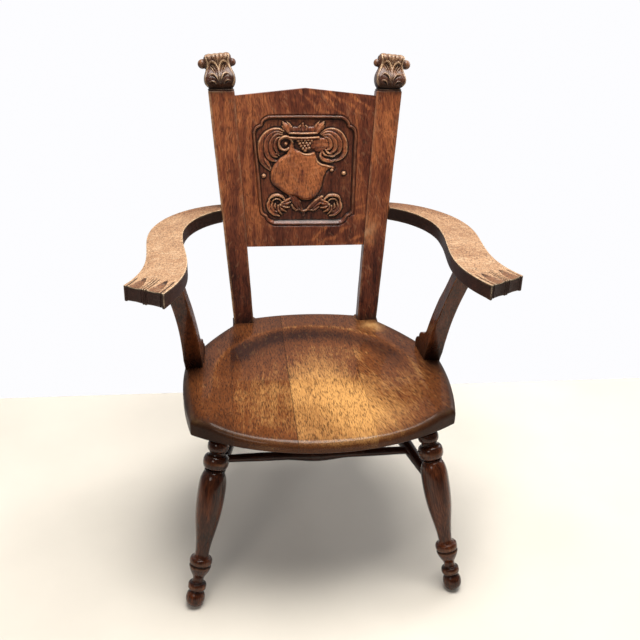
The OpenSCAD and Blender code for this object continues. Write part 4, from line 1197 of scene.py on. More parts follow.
def blurred(grid, times):
    """A grid of heights, softened by a number of passes."""
    for _ in range(times):
        grid = (np.roll(grid, 1, 0) + np.roll(grid, -1, 0) + 2 * grid) / 4
        grid = (np.roll(grid, 1, 1) + np.roll(grid, -1, 1) + 2 * grid) / 4
    return grid


def panel_skin():
    """The panel, with a fine grid in front that carries the carving, and the measures of that grid."""
    span, dense = PANEL_HIGH - PANEL_LOW, 0.80
    left = np.linspace(-1, -dense, 13, endpoint=False)
    across = np.concatenate([left, np.linspace(-dense, dense, 266), np.linspace(dense, 1, 14)[1:]])
    low, middle_part = np.linspace(0, 46, 14, endpoint=False), np.linspace(46, 314, 284)
    up = np.concatenate([low, middle_part, np.linspace(316, span, 15)[1:]]) / span
    a, b = np.meshgrid(across, up, indexing="ij")
    s = PANEL_LOW + b * span
    s = s + b * (panel_top(a * post_edge(s)) - PANEL_HIGH)
    x = a * post_edge(s)
    high, depth, plate, lips = carve(x.ravel(), s.ravel() - PANEL_LOW)
    n, m = a.shape
    grid = high.reshape(n, m)
    form = {
        "high": high,
        "depth": depth,
        "plate": plate,
        "lips": lips,
        "proud": high - blurred(grid, 5).ravel(),
        "broad": high - blurred(grid, 22).ravel(),
        "sunk": blurred(grid, 16).ravel() - high,
    }
    front = np.stack([x.ravel(), PANEL_INSET - high, s.ravel()], axis=1)
    i, j = np.meshgrid(np.arange(n - 1), np.arange(m - 1), indexing="ij")
    k = i * m + j
    quads = [np.stack([k, k + m, k + m + 1, k + 1], axis=-1).reshape(-1, 4)]
    low_side, right_side = np.arange(n) * m, (n - 1) * m + np.arange(1, m)
    top_side, left_side = np.arange(n - 2, -1, -1) * m + m - 1, np.arange(m - 2, 0, -1)
    rim = np.concatenate([low_side, right_side, top_side, left_side])
    back = front[rim].copy()
    back[:, 1] = PANEL_INSET + PANEL_THICK
    middle = np.array([[0, PANEL_INSET + PANEL_THICK, (PANEL_LOW + PANEL_HIGH) / 2]])
    inner = back + (middle - back) * 0.04
    ring = len(front) + np.arange(len(rim))
    ring_in = ring + len(rim)
    following = np.roll(np.arange(len(rim)), -1)
    quads.append(np.stack([rim, ring, ring[following], rim[following]], axis=1))
    quads.append(np.stack([ring, ring_in, ring_in[following], ring[following]], axis=1))
    centre = np.full(len(rim), len(front) + 2 * len(rim))
    tris = np.stack([ring_in, centre, ring_in[following]], axis=1)
    return np.concatenate([front, back, inner, middle]), np.concatenate(quads), tris, form


def panel_wear_and_highlight(form):
    """Crests of the carving, worn and with painted highlights, and painted highlights on the lips of the
    shield.
    """
    on_plate = smooth(form["plate"], -0.6, 1.2)
    # Pale crests of the carving: worn and painted highlight
    crest = smooth(form["proud"], 0.3, 1.0) * (1 - 0.85 * on_plate) * (1 - 0.8 * bell(form["depth"], 0, 3.0))
    # Painted highlight on the lips of the shield
    return np.maximum(smooth(form["depth"], -5, -2) * crest * 0.92, 0.9 * smooth(form["lips"], 0.5, 1.8))


def panel_grime_and_shade(form):
    """Dark hollows between the leaves, soiling and painted shade, and painted shadow in the groove round the
    field.
    """
    ground = (1 - smooth(form["high"], -5.4, -2.0)) * smooth(form["depth"], 3, 7)
    # Painted shadow in the groove round the field
    groove = bell(form["depth"], GROOVE_OUT, 1.5)
    # Ground and hollows darkened: soiling and painted shade
    hollow = np.maximum(0.30 * ground + 1.4 * smooth(form["sunk"], 0.1, 1.1), groove)
    return smooth(form["depth"], -5, -2) * hollow * (1 - 0.8 * smooth(form["plate"], -0.6, 1.2))


def board_figure(x, s):
    """Figure of the panel's boards: flames, a dark stain, a seam and a painted sheen as a pale strip at the
    left.
    """
    across = s * 0.8 + np.where(s > 150, 0.55, -0.50) * x + 9 * waver(13, x, s, size=150)
    flame = np.sin(across / 3.6 + 0.9 * waver(14, x, s, size=80)) + 0.6 * waver(15, x, s, size=46)
    where = smooth(s, 306, 318) * smooth(x, -60, 10) + smooth(-s, -60, -40) * smooth(x, -20, 40)
    where = where + 0.6 * smooth(x, 114, 124) * smooth(-s, -150, -90)
    tone_and_light = 0.05 * waver(12, x, s, size=150) - 0.05
    tone_and_light += 0.42 * np.clip(where, 0, 1) * smooth(flame, 0.2, 1.2) - 0.14 * smooth(s, 302, 316)
    tone_and_light -= 0.30 * bell(s + 0.5 * x, 336, 13) * smooth(x, -6, 6) * (1 - smooth(x, 60, 84))
    # Painted sheen: a pale strip along the left edge; the dark line is the seam
    tone_and_light += 0.27 * smooth(-x, 104, 116) - 0.35 * bell(x, -124, 1.1) * (s < 330)
    return tone_and_light - 0.10 * (1 - smooth(s, 30, 90))


def carving_tone_and_light(x, s, form):
    """What the carved field adds to the board's figure: a light shield and leaves on a dark ground, with
    painted shade along the shield's lower edge.
    """
    depth, plate, high = form["depth"], form["plate"], form["high"]
    on_plate, proud = smooth(plate, -0.6, 1.2), smooth(high, -3, 0)
    tone_and_light = (0.44 + 0.20 * waver(16, x * 1.6, s * 0.6, size=50)) * on_plate
    tone_and_light -= 0.15 * smooth(depth, 3, 7) * (1 - on_plate) * (1 - proud)
    tone_and_light += 0.34 * bell(x, 62, 26) * bell(s, 242, 26) * proud
    # Painted shade along the lower edge of the shield
    tone_and_light -= 0.22 * on_plate * bell(plate, 1.5, 5) * (1 - smooth(s, 140, 175))
    tone_and_light += 0.20 * smooth(form["broad"], 0.2, 2.4) * smooth(depth, 4, 8) * (1 - on_plate)
    return tone_and_light + 0.06 * smooth(depth, -5, -2) - 0.22 * smooth(depth, -6, -3) * (1 - smooth(depth, 2, 5))


# Arms and their supports

ROOT_S = (ARM_TOP - ARM_THICK / 2 - SEAT_TOP) / math.cos(BACK_LEAN)
ROOT_X = POST_OUT + ROOT_S * (POST_OUT_TOP - POST_OUT) / POST_LEN
ROOT_Y = POST_Y + (ARM_TOP - ARM_THICK / 2 - SEAT_TOP) * math.tan(BACK_LEAN)
ARM_ACROSS = np.array([math.cos(ARM_TURN), math.sin(ARM_TURN)])
ARM_BACK = np.array([-math.sin(ARM_TURN), math.cos(ARM_TURN)])
ARM_END = np.array([350.0, SEAT_FRONT + 80 - ROOT_Y])


def arm_edges(n=60):
    """Outer and inner edge of the arm from the post to its end, in the arm's own plan."""
    half = ARM_ACROSS * ARM_WIDE / 2
    end_o, end_i = ARM_END + half, ARM_END - half
    mid_o, mid_i = np.array([362.0, -190.0]), np.array([286.0, -178.0])
    root_o = bezier((ROOT_X - 12, POST_THICK + 2), (ROOT_X + 72, POST_THICK - 6), mid_o + (0, 130), mid_o, n)
    root_i = bezier((ROOT_X - 16, 0), (ROOT_X + 44, -24), mid_i + (4, 82), mid_i, n)
    tip_o = bezier(mid_o, mid_o - (0, 82), end_o + 103 * ARM_BACK, end_o, n)
    tip_i = bezier(mid_i, mid_i - (0, 100), end_i + 140 * ARM_BACK, end_i, n)
    return np.vstack([root_o[:-1], tip_o]), np.vstack([root_i[:-1], tip_i])


ARM_SKIN_WIDE, ARM_ROUND, ARM_CARVED = 84.0, 1.8, 74
SCOOPS = (-20.5, 20.5)
# Grooves along the arm's end: place across, half width, depth, length
ARM_GROOVES = (
    (-37, 2.3, 3.0, 58),
    (-5.6, 1.7, 2.6, 60),
    (0, 1.6, 2.4, 60),
    (5.6, 1.7, 2.6, 60),
    (37.5, 2.3, 3.0, 54),
)
# Flutes down the arm's front: place across, half width, depth
ARM_FLUTES = (
    (-21, 14.5, 1.8),
    (21, 14.5, 1.8),
    (-5.2, 1.8, 2.4),
    (0.0, 1.6, 2.0),
    (5.2, 1.8, 2.4),
    (-37.5, 2.2, 2.6),
    (37.5, 2.2, 2.6),
)
# Lower edge of the arm's front: place across, rise
ARM_LOW_EDGE = ((0, -0.5), (4, -0.8), (6, 1.0), (20, 1.6), (34, 1.0), (37, 0.8), (39, -1.0), (44, -1.0))


def arm_cuts(t, c, notched):
    """Depth of the scoops and grooves at a distance from the arm's end and a place across it."""
    scoop, groove = np.zeros(len(t)), np.zeros(len(t))
    for at in SCOOPS:
        half = 12.0 * (1 - np.clip(t / 56, 0, 1) ** 1.7) + 0.3
        deep = (2.2 + 1.8 * np.clip(t / 52, 0, 1)) * smooth(56 - t, 0, 9)
        middle = at + 0.03 * t * np.sign(at)
        scoop = np.maximum(scoop, deep * np.clip(1 - ((c - middle) / half) ** 2, 0, 1) ** 0.7)
    for at, half, deep, long in ARM_GROOVES:
        across = np.clip(1 - np.abs((c - at) / half), 0, 1)
        groove = np.maximum(groove, deep * smooth(long - t, 0, 12) * across)
    if notched:
        steps = smooth(np.cos(t * 2 * math.pi / 4.8), 0.1, 0.6) * smooth(t, 3, 6) * smooth(48 - t, 0, 4)
        groove = np.maximum(groove, 1.5 * steps * np.clip(1.15 - np.abs((c + 2.7) / 2.6), 0, 1))
    return scoop, groove


def arm_front(u, w, c, length):
    """The flutes and the lower edge of the arm's front."""
    flute = np.zeros(len(u))
    for at, half, deep in ARM_FLUTES:
        flute = np.maximum(flute, deep * np.clip(1 - ((c - at) / half) ** 2, 0, 1) ** 0.5)
    u = u - flute * smooth(u, length - 2.6, length - 0.4)
    low = (1 - smooth(w, 0.5, 6)) * smooth(u, length - 14, length - 1)
    return u, w + low * np.interp(np.abs(c), *np.transpose(ARM_LOW_EDGE))


def arm_skin(notched):
    """The right arm with its carved knuckle end. One arm has a notched ridge in the middle of its end."""
    outer, inner = arm_edges()
    centre = (outer + inner) / 2
    run = np.concatenate([[0], np.cumsum(np.linalg.norm(np.diff(centre, axis=0), axis=1))])
    length, wide, r = run[-1], ARM_SKIN_WIDE, ARM_ROUND
    carved = length - ARM_CARVED
    plain, fine = eased_lines(0, carved, r, 70)[:-5], np.linspace(carved - r, length - r, 62)[1:-1]
    us = np.concatenate([plain, fine, length - (r - r * np.tan(np.linspace(0, math.pi / 4, 5)))])
    skin, quads = box_skin(us, eased_lines(0, wide, r, 112), eased_lines(0, ARM_THICK, r, 10))
    lo, hi = np.zeros(3), np.array([length, wide, ARM_THICK])
    u, v, w = ease(skin, lo, hi, r).T
    t, c = length - u, (v / wide - 0.5) * ARM_WIDE
    on_top = smooth(w, ARM_THICK - 6, ARM_THICK - 0.6)
    scoop, groove = arm_cuts(t, c, notched)
    u, w = arm_front(u, w - np.maximum(scoop, groove) * on_top, c, length)
    place = np.interp(u, run, np.arange(len(run)))
    k = np.clip(place.astype(int), 0, len(run) - 2)
    g = (place - k)[:, None]
    side = (v / wide)[:, None]
    edge_i = inner[k] * (1 - g) + inner[k + 1] * g
    edge_o = outer[k] * (1 - g) + outer[k + 1] * g
    plan = edge_i * (1 - side) + edge_o * side - ARM_BACK * np.clip(u - length, 0, None)[:, None]
    stain = 1 - smooth(skin[:, 2], ARM_THICK - 1.7, ARM_THICK - 0.5)
    stain = np.maximum(stain, smooth(skin[:, 0], length - 0.9, length - 0.2))
    # Painted shade in the scoops, strongest towards their tips and on one side; the grooves are darkened too
    tip = smooth(t, 30, 52) * np.where(c < 0, 0.95, 0.55)
    grime_and_shade = smooth(groove, 0.4, 1.5) + tip * smooth(scoop, 0.6, 2.0) + 0.12 * smooth(scoop, 0.3, 1.2)
    # The scoops darkened as painted shade, and darker near the end
    hollow = on_top * (smooth(scoop, 0.2, 1.6) + 0.3 * smooth(24 - t, 0, 20))
    wear_and_highlight = edge_wear(skin, lo, hi, 2.6) * (1 + 0.4 * on_top)
    return plan, w, quads, wear_and_highlight, np.clip(on_top * grime_and_shade, 0, 1), np.clip(stain, 0, 1), hollow


def arm_points(plan, w):
    """From the arm's own rising plane to the chair."""
    c, n = math.cos(ARM_RISE), math.sin(ARM_RISE)
    x, y = plan.T
    return np.stack([x, ROOT_Y + y * c + w * n, ARM_TOP - ARM_THICK - y * n + w * c], axis=1)


def finish_arm(arm, side, plan, w, wear_and_highlight, grime_and_shade, stain, hollow):
    """Grain, wear, grime, stain and polish of an arm, darkest at the post and in the scoops of its end, where
    the darkening is painted shade.
    """
    x, y = plan.T
    turn = math.radians(22 if side > 0 else 34)
    along = x * math.cos(turn) + y * math.sin(turn) + side * 510
    across = y * math.cos(turn) - x * math.sin(turn)
    tone_and_light = 0.10 * waver(21 + side, x, y, size=90) - 0.02
    if side > 0:
        tone_and_light += 0.16 * bell(y, -235, 45) - 0.13 * (1 - smooth(-y, 320, 350))
    # Darkest at the post, and painted shade in the scoops
    tone_and_light -= 0.55 * np.exp(-np.clip(-y, 0, None) / 45) + 0.7 * hollow
    set_values(arm, "grain_at", np.stack([along, w, across], axis=1) * MM)
    set_values(arm, "wear_and_highlight", np.clip(wear_and_highlight * 0.6 * (1 - 0.6 * (w < 6)), 0, 1))
    set_values(arm, "grime_and_shade", grime_and_shade)
    set_values(arm, "stain", stain)
    set_values(arm, "tone_and_light", tone_and_light)


def trim_at_post(mesh, side):
    """Cuts an arm's root off along the outer face of its post."""
    slope = (POST_OUT_TOP - POST_OUT) / POST_LEN
    way = Vector((side, -slope * math.sin(BACK_LEAN), -slope * math.cos(BACK_LEAN))).normalized()
    at = Vector(lean_back(np.array([side * ROOT_X]), np.array([16.0]), np.array([ROOT_S]))[0]) * MM
    work = bmesh.new()
    work.from_mesh(mesh)
    geometry = work.verts[:] + work.edges[:] + work.faces[:]
    cut = bmesh.ops.bisect_plane(work, geom=geometry, dist=1e-7, plane_co=at, plane_no=way, clear_inner=True)
    bmesh.ops.edgeloop_fill(work, edges=[e for e in cut["geom_cut"] if isinstance(e, bmesh.types.BMEdge)])
    bmesh.ops.recalc_face_normals(work, faces=work.faces[:])
    work.to_mesh(mesh)
    work.free()


PROP_X, PROP_TOP_X, PROP_W, PROP_TOP_W = 273.0, 311.0, 39.0, 40.0
PROP_H = ARM_TOP - ARM_THICK - SEAT_TOP
PROP_Y = SEAT_MID + 69
PROP_LEAN = math.tan(math.radians(17.5))
PROP_FOOT = 84
# Rear edge of an arm support: height over the seat, depth behind its front corner
PROP_REAR = (
    (-5, 70), (2, 73), (8, 75.5), (14, 76), (20, 73), (25, 69), (29, 63),
    (32, 55), (34, 53.5), (38, 54), (43, 52.5), (48, 48), (52, 40), (56, 29),
    (60, 21), (66, 14.5), (74, 10.5), (90, 6.0), (120, -2.5), (165, -17), (200, -33),
    (PROP_H + 20, 27 - (PROP_H + 20) * PROP_LEAN),
)


def prop_skin():
    """The right arm support: pinched foot with a bracket behind, then a stem that bends outwards."""
    half, top, high = PROP_W / 2, PROP_H + 14, PROP_H + 12
    foot_in, foot_out = PROP_X - half, PROP_X + half
    top_in, top_out = PROP_TOP_X - PROP_TOP_W / 2, PROP_TOP_X + PROP_TOP_W / 2
    in_edge = bezier((foot_in, 0), (foot_in + 3, 90), (top_in - 19, top - 108), (top_in, top), 40)
    stem = bezier((foot_out + 2.5, 22), (foot_out + 4, 100), (top_out - 30, top - 108), (top_out, top), 40)
    out_edge = np.vstack([[(foot_out, -2), (foot_out, 0)], stem])
    rows = np.concatenate([np.linspace(-9, PROP_FOOT, 64), np.linspace(PROP_FOOT, high, 50)[1:]])
    r, wide, deep = 1.8, 36.0, 40.0
    skin, quads = box_skin(eased_lines(0, wide, r, 8), eased_lines(0, deep, r, 14), rows)
    lo, hi = np.array([0, 0, -20.0]), np.array([wide, deep, high + 20])
    wear_and_highlight = edge_wear(skin, lo, hi, 3.5)
    p = ease(skin, lo, hi, r)
    u, v, z = p[:, 0] / wide, p[:, 1] / deep, skin[:, 2]
    x_in = np.interp(z, in_edge[:, 1], in_edge[:, 0])
    x_out = np.interp(z, out_edge[:, 1], out_edge[:, 0])
    front = PROP_Y - z * PROP_LEAN
    rear = PROP_Y + np.interp(z, *np.transpose(PROP_REAR))
    y = front + v * (rear - front)
    x_in = x_in - 0.075 * (y - front)
    x = x_in + u * (x_out - x_in)
    behind = y - PROP_Y - 38
    limit = foot_out - behind * math.tan(math.radians(23))
    x = np.where((z < PROP_FOOT) & (behind > 0), np.minimum(x, limit), x)
    return np.stack([x, y, SEAT_TOP + z], axis=1), quads, wear_and_highlight, z


# Finials


def finial_form():
    """The plain form of a finial: a bulb on a plinth, flaring above, with a roll and two knobs behind it."""
    high, half = 81.0, 33.5
    across, deep = eased_lines(-1, 1, 0.22, 40, 5), eased_lines(0, 1, 0.28, 10, 5)
    skin, quads = box_skin(across, deep, eased_lines(0, 1, 0.02, 90, 2))
    a, b, k = skin.T
    at = [0, 0.045, 0.052, 0.075, 0.095, 0.15, 0.24, 0.38, 0.48, 0.58, 0.67, 0.76, 0.85, 0.92, 0.97, 1.0]

    def form(values):
        soft = sum(np.interp(k + d, at, values) for d in np.linspace(-0.06, 0.06, 9)) / 9
        plain = np.interp(k, at, values)
        return plain + (soft - plain) * smooth(k, 0.10, 0.17) * (1 - smooth(k, 0.9, 0.97))

    bulge = [0.90, 0.90, 0.83, 0.83, 0.88, 0.99, 1.07, 1.07, 0.99, 0.88, 0.82, 0.82, 0.86, 0.88, 0.85, 0.76]
    wide = half * form(bulge)
    front = form([-16.5, -16.5, -14, -14, -17, -23, -29, -29, -23, -17, -14, -14, -18, -19, -14, -6])
    rear = form([15, 15, 13, 13, 13, 12, 12, 12, 12, 12, 13, 14, 16, 16, 13, 8])
    side = np.clip(np.abs(a) - 0.66, 0, 1) / 0.34
    round_side = 1 - np.sqrt(np.clip(1 - side**2, 0, 1))
    lobes = 1.4 * np.abs(np.sin(2 * math.pi * a + 0.3)) * smooth(k, 0.9, 1.0)
    y = front + b * (rear - front) + (1 - b) * round_side * 11.0 - b * round_side * 6.0
    body = raise_mesh("finial", np.stack([a * wide, y, k * high + lobes], axis=1), quads)
    work = bmesh.new()
    work.from_mesh(body)
    roll = Matrix.Translation(Vector((0, 8, 63)) * MM) @ Matrix.Rotation(math.pi / 2, 4, "Y")
    size = {"radius1": 13 * MM, "radius2": 13 * MM, "depth": 62 * MM}
    bmesh.ops.create_cone(work, cap_ends=True, segments=40, matrix=roll, **size)
    for x, y, z, r in ((35.0, 6, 61.5, 10.8), (-32.0, 7, 59.5, 9.0)):
        at = Matrix.Translation(Vector((x, y, z)) * MM)
        bmesh.ops.create_uvsphere(work, u_segments=32, v_segments=20, radius=r * MM, matrix=at)
    bmesh.ops.recalc_face_normals(work, faces=work.faces[:])
    work.to_mesh(body)
    work.free()
    obj = bpy.data.objects.new("finial", body)
    bpy.context.scene.collection.objects.link(obj)
    remesh = obj.modifiers.new("Remesh", "REMESH")
    remesh.mode, remesh.voxel_size = "VOXEL", 0.95 * MM
    even = obj.modifiers.new("Smooth", "SMOOTH")
    even.factor, even.iterations = 0.5, 4
    made = bpy.data.meshes.new_from_object(obj.evaluated_get(bpy.context.evaluated_depsgraph_get()))
    bpy.data.objects.remove(obj)
    bpy.data.meshes.remove(body)
    return made


# Leaf rims and ribs: path, half widths, heights, how pale they are, worn and with painted highlight
FINIAL_STROKES = [
    ([(27, 79), (23.5, 68), (23.5, 56), (28.5, 44), (33, 33), (33, 22), (28, 12)],
     (2.2, 2.2, 2.6, 2.4), (2, 2, 1.8), 0.75),
    ([(0.5, 46), (3.5, 56), (8.5, 63.5), (14, 65.5), (19, 61.5), (21, 54)],
     (2.0, 2.8, 2.6, 1.2), (1.8, 3.2, 2.8, 1.0), 1.0),
    ([(14.5, 60), (9.5, 52), (4.5, 43)], (0.9, 1.4, 0.8), (1.0, 1.6, 0.8), 0.7),
    ([(18.5, 56), (13.5, 48), (8.5, 40)], (0.9, 1.4, 0.8), (1.0, 1.5, 0.8), 0.5),
    ([(3.5, 23), (5.8, 31), (10.4, 37), (16, 39), (21.5, 37), (25, 31)],
     (1.2, 1.9, 1.8, 1.0), (1.4, 2.6, 2.2, 1.0), 0.7),
    ([(8, 14.5), (11.8, 21), (18, 23.5), (24, 21)], (1.0, 1.6, 1.2), (1.2, 2.0, 1.0), 0.4),
    ([(0, 12), (0, 28), (0, 44)], (1.2, 3.0, 3.4), (0.8, 1.6, 2.0), 0.2),
    ([(5, 66), (8.5, 74), (8.5, 81)], (3, 4, 3), (1.2, 2.2, 1.4), 0.3),
    ([(14, 67), (19, 74), (20.5, 81)], (3, 4, 3), (1.2, 2.2, 1.4), 0.3),
    ([(0, 60), (0, 70), (0, 81)], (2.4, 3, 2.6), (1.2, 1.8, 1.2), 0.4),
]
# Cuts between the leaves: path, half widths, depths
FINIAL_CUTS = [
    ([(3.2, 43), (7.6, 51), (12.2, 58.5), (16.5, 59.5)], (0.8, 1.2, 0.9), (1.0, 1.9, 1.2)),
    ([(6.8, 40), (11.5, 48.5), (16.6, 56.3)], (0.7, 0.9, 0.7), (0.8, 1.2, 0.8)),
    ([(5.8, 24), (8.4, 30), (12.6, 34.2), (17.5, 35)], (0.8, 1.5, 0.9), (1.0, 2.4, 1.2)),
    ([(11, 14.5), (14.5, 19), (19.5, 19.5)], (0.8, 1.6, 0.9), (0.8, 2.2, 1.0)),
    ([(4.5, 69), (4.2, 82)], (0.8, 1.0), (0.8, 1.4)),
    ([(13, 71), (14.5, 82)], (0.8, 1.0), (0.8, 1.4)),
    ([(21, 66), (24, 75)], (0.8, 1.0), (0.8, 1.2)),
]


def finial_relief(x, z):
    """Leaf work on a finial's front: its height, how pale its edges are and how dark its cuts are."""
    ax = np.abs(x)
    high, pale, dark = np.zeros(x.shape), np.zeros(x.shape), np.zeros(x.shape)
    for path, width, tall, rubbed_and_lit in FINIAL_STROKES:
        ridge = stroke(ax, z, bend(path, 5), width, tall)
        high = np.maximum(high, ridge)
        pale = np.maximum(pale, rubbed_and_lit * smooth(ridge / np.max(tall), 0.3, 0.9))
    for path, width, tall in FINIAL_CUTS:
        line = stroke(ax, z, bend(path, 5), width, tall)
        high = high - line
        dark = np.maximum(dark, smooth(line, 0.3, 1.4))
    return high - 0.8, pale * (1 - dark), dark


def finish_finial(mesh, side):
    """Grain, wear, grime and polish of an upright finial. Gives its points with the leaf work raised."""
    p = points_of(mesh)
    facing = np.zeros(len(p) * 3, np.float32)
    mesh.vertices.foreach_get("normal", facing)
    facing = facing.reshape(-1, 3)
    x, y, z = p.T
    ax, up = np.abs(x), facing[:, 2]
    on_front = smooth(-facing[:, 1], 0.1, 0.6) * smooth(z, 8, 11) * (y < 5)
    relief, pale, dark = finial_relief(x, z)
    carved = p + facing * (relief * on_front)[:, None]
    set_values(mesh, "grain_at", (carved + (side * 120, 0, 0)) * MM)
    # Pale leaf edges: worn and painted highlight; faces turned upwards near the top get a painted highlight
    wear_and_highlight = pale * on_front + 0.3 * smooth(up, 0.3, 0.9) * smooth(z, 66, 74)
    # Painted highlight on the upward faces of the plinth
    set_values(mesh, "wear_and_highlight", np.clip(wear_and_highlight + 0.3 * (z < 4.2) * smooth(up, 0, 1), 0, 1))
    # Dark cuts, a dark line over the plinth, and painted shade on the lower part of the bulb
    grime_and_shade = dark * on_front + 0.9 * bell(z, 5.2, 1.3) + 0.75 * smooth(-z, -19, -9) * (z > 4)
    # Painted shade on the back of the finial and its roll
    behind = 0.75 * smooth(y, -6, 3) * smooth(z, 9, 14) * (1 - smooth(ax, 30, 36))
    set_values(mesh, "grime_and_shade", np.clip(np.maximum(grime_and_shade, behind), 0, 1))
    tone_and_light = 0.45 * smooth(z, 30, 72) + 0.22 * bell(z, 46, 11) + 0.12 * waver(51, x, z, size=40) - 0.22
    set_values(mesh, "tone_and_light", tone_and_light + 0.15 * smooth(ax, 33, 38) * (z > 50))
    return carved


def lean_finial(points):
    """Leans a finial outwards above its plinth and stands it on the right post."""
    x, y, z = points.T
    c, s = math.cos(FINIAL_LEAN), math.sin(FINIAL_LEAN)
    centre = (POST_IN_TOP + POST_OUT_TOP) / 2
    rise = np.maximum(z * c - x * s * smooth(z, 2, 26), -0.5)
    return lean_back(centre + x * c + z * s, POST_THICK / 2 + y, POST_LEN + rise)


# Stage


FLOOR_REAR, FLOOR_TURN = 0.527, -0.012


def floor_finish(tone):
    """Plain pale floor with faint clouds."""
    material = bpy.data.materials.new("Pale floor")
    material.use_nodes = True
    tree = material.node_tree
    shader = tree.nodes["Principled BSDF"]
    place = put(tree, "ShaderNodeTexCoord", out="Object")
    cloud = put(tree, "ShaderNodeTexNoise", {"Vector": place, "Scale": 3.0, "Detail": 4.0})
    colour = ramp(tree, cloud, [(0.3, [c * 0.95 for c in tone]), (0.7, [min(c * 1.03, 1) for c in tone])])
    tree.links.new(colour, shader.inputs["Base Color"])
    shader.inputs["Roughness"].default_value = 0.7
    return material


def lay_floor(side):
    """A flat floor that ends in a line behind the chair."""
    mesh = bpy.data.meshes.new("floor")
    right, left = FLOOR_REAR + FLOOR_TURN * side, FLOOR_REAR - FLOOR_TURN * side
    corners = [(-side, -side, 0), (side, -side, 0), (side, right, 0), (-side, left, 0)]
    mesh.from_pydata(corners, [], [(0, 1, 2, 3)])
    floor = bpy.data.objects.new("floor", mesh)
    bpy.context.scene.collection.objects.link(floor)
    return floor


def hang_lamps(power):
    """A large soft light overhead, a faint warm one in front and a cool one from a window."""
    for name, at, aim, size, share, tint in (
        ("overhead", (0.15, 0.05, 2.7), (0, -0.05, 0.4), 1.6, 1.0, (1.0, 0.97, 0.92)),
        ("front", (-1.5, -2.4, 2.1), (0, 0, 0.5), 0.8, 0.12, (1.0, 0.95, 0.90)),
        ("window", (2.4, 1.3, 1.7), (0, 0, 0.5), 1.6, 0.22, (0.95, 0.97, 1.0)),
    ):
        light = bpy.data.lights.new(name, "AREA")
        light.size, light.energy, light.color = size, power * share, tint
        lamp = bpy.data.objects.new(name, light)
        lamp.location = at
        lamp.rotation_euler = (Vector(aim) - Vector(at)).to_track_quat("-Z", "Y").to_euler()
        bpy.context.scene.collection.objects.link(lamp)


def studio_sky():
    """A pale sky that is brighter behind the chair, and white where the camera sees it."""
    world = bpy.data.worlds.new("Studio")
    bpy.context.scene.world = world
    world.use_nodes = True
    tree = world.node_tree
    cut = tree.nodes.new("ShaderNodeSeparateXYZ")
    tree.links.new(put(tree, "ShaderNodeTexCoord", out="Generated"), cut.inputs[0])
    rear = remap(tree, cut.outputs[1], -0.6, 0.8, 0.10, 0.50)
    seen = put(tree, "ShaderNodeLightPath", out="Is Camera Ray")
    power = put(tree, "ShaderNodeMix", {0: seen, 2: rear, 3: 1.0}, 0, data_type="FLOAT")
    sky = tree.nodes["Background"]
    sky.inputs["Color"].default_value = (0.98, 0.98, 1.0, 1)
    tree.links.new(power, sky.inputs["Strength"])


def stand_camera():
    """The camera of the photo."""
    scene = bpy.context.scene
    lens = bpy.data.cameras.new("camera")
    lens.sensor_width = SENSOR_WIDE
    lens.lens = FOCAL_PIXELS / PHOTO_PIXELS * SENSOR_WIDE
    lens.shift_x = SHIFT_PIXELS / PHOTO_PIXELS
    camera = bpy.data.objects.new("camera", lens)
    camera.matrix_world = Matrix.Translation(CAMERA_AT) @ Matrix(CAMERA_AXES).transposed().to_4x4()
    scene.collection.objects.link(camera)
    scene.camera = camera
    scene.view_settings.view_transform = "Standard"


# Settings and operators


class ArmchairSettings(bpy.types.PropertyGroup):
    """Sizes and colours that can be changed before the pieces are built."""

    turned_segments: bpy.props.IntProperty(
        name="Turned Segments", description="Facets round each turned member", default=72, min=16, max=128
    )
    seat_colour: bpy.props.FloatVectorProperty(
        name="Seat Colour",
        description="Middle tone of the seat's oak",
        default=(0.150, 0.047, 0.014),
        size=3,
        subtype="COLOR",
    )
    back_colour: bpy.props.FloatVectorProperty(
        name="Back Colour",
        description="Middle tone of the oak of the posts and the panel",
        default=(0.195, 0.053, 0.025),
        size=3,
        subtype="COLOR",
    )
    arm_colour: bpy.props.FloatVectorProperty(
        name="Arm Colour",
        description="Middle tone of the arms' worn oak",
        default=(0.45, 0.262, 0.142),
        size=3,
        subtype="COLOR",
    )
    turned_colour: bpy.props.FloatVectorProperty(
        name="Turned Colour",
        description="Middle tone of the dark oak of legs, stretchers and arm supports",
        default=(0.048, 0.0132, 0.0052),
        size=3,
        subtype="COLOR",
    )
    floor_size: bpy.props.FloatProperty(
        name="Floor Size", description="Half width of the floor", default=4.0, unit="LENGTH"
    )
    floor_colour: bpy.props.FloatVectorProperty(
        name="Floor Colour",
        description="Colour of the plain floor",
        default=(0.82, 0.765, 0.675),
        size=3,
        subtype="COLOR",
    )
    light_power: bpy.props.FloatProperty(
        name="Light Power", description="Power of the large light overhead", default=95.0, unit="POWER"
    )


class ARMCHAIR_OT_seat(bpy.types.Operator):
    """Four boards of the saddle seat"""

    bl_idname = "armchair.seat"
    bl_label = "Build Seat"

    def execute(self, context):
        whole = raise_mesh("seat", *seat_skin())
        cuts = (-SEAT_WIDE, *SEAMS, SEAT_WIDE)
        for k in range(4):
            board = cut_board(whole, cuts[k] + SEAM_HALF, cuts[k + 1] - SEAM_HALF)
            finish_board(board, k)
            seat_piece(f"seat_top_{k + 1}", board, seat_oak(), [f"seat_board_{k + 1}"])
        bpy.data.meshes.remove(whole)
        return {"FINISHED"}


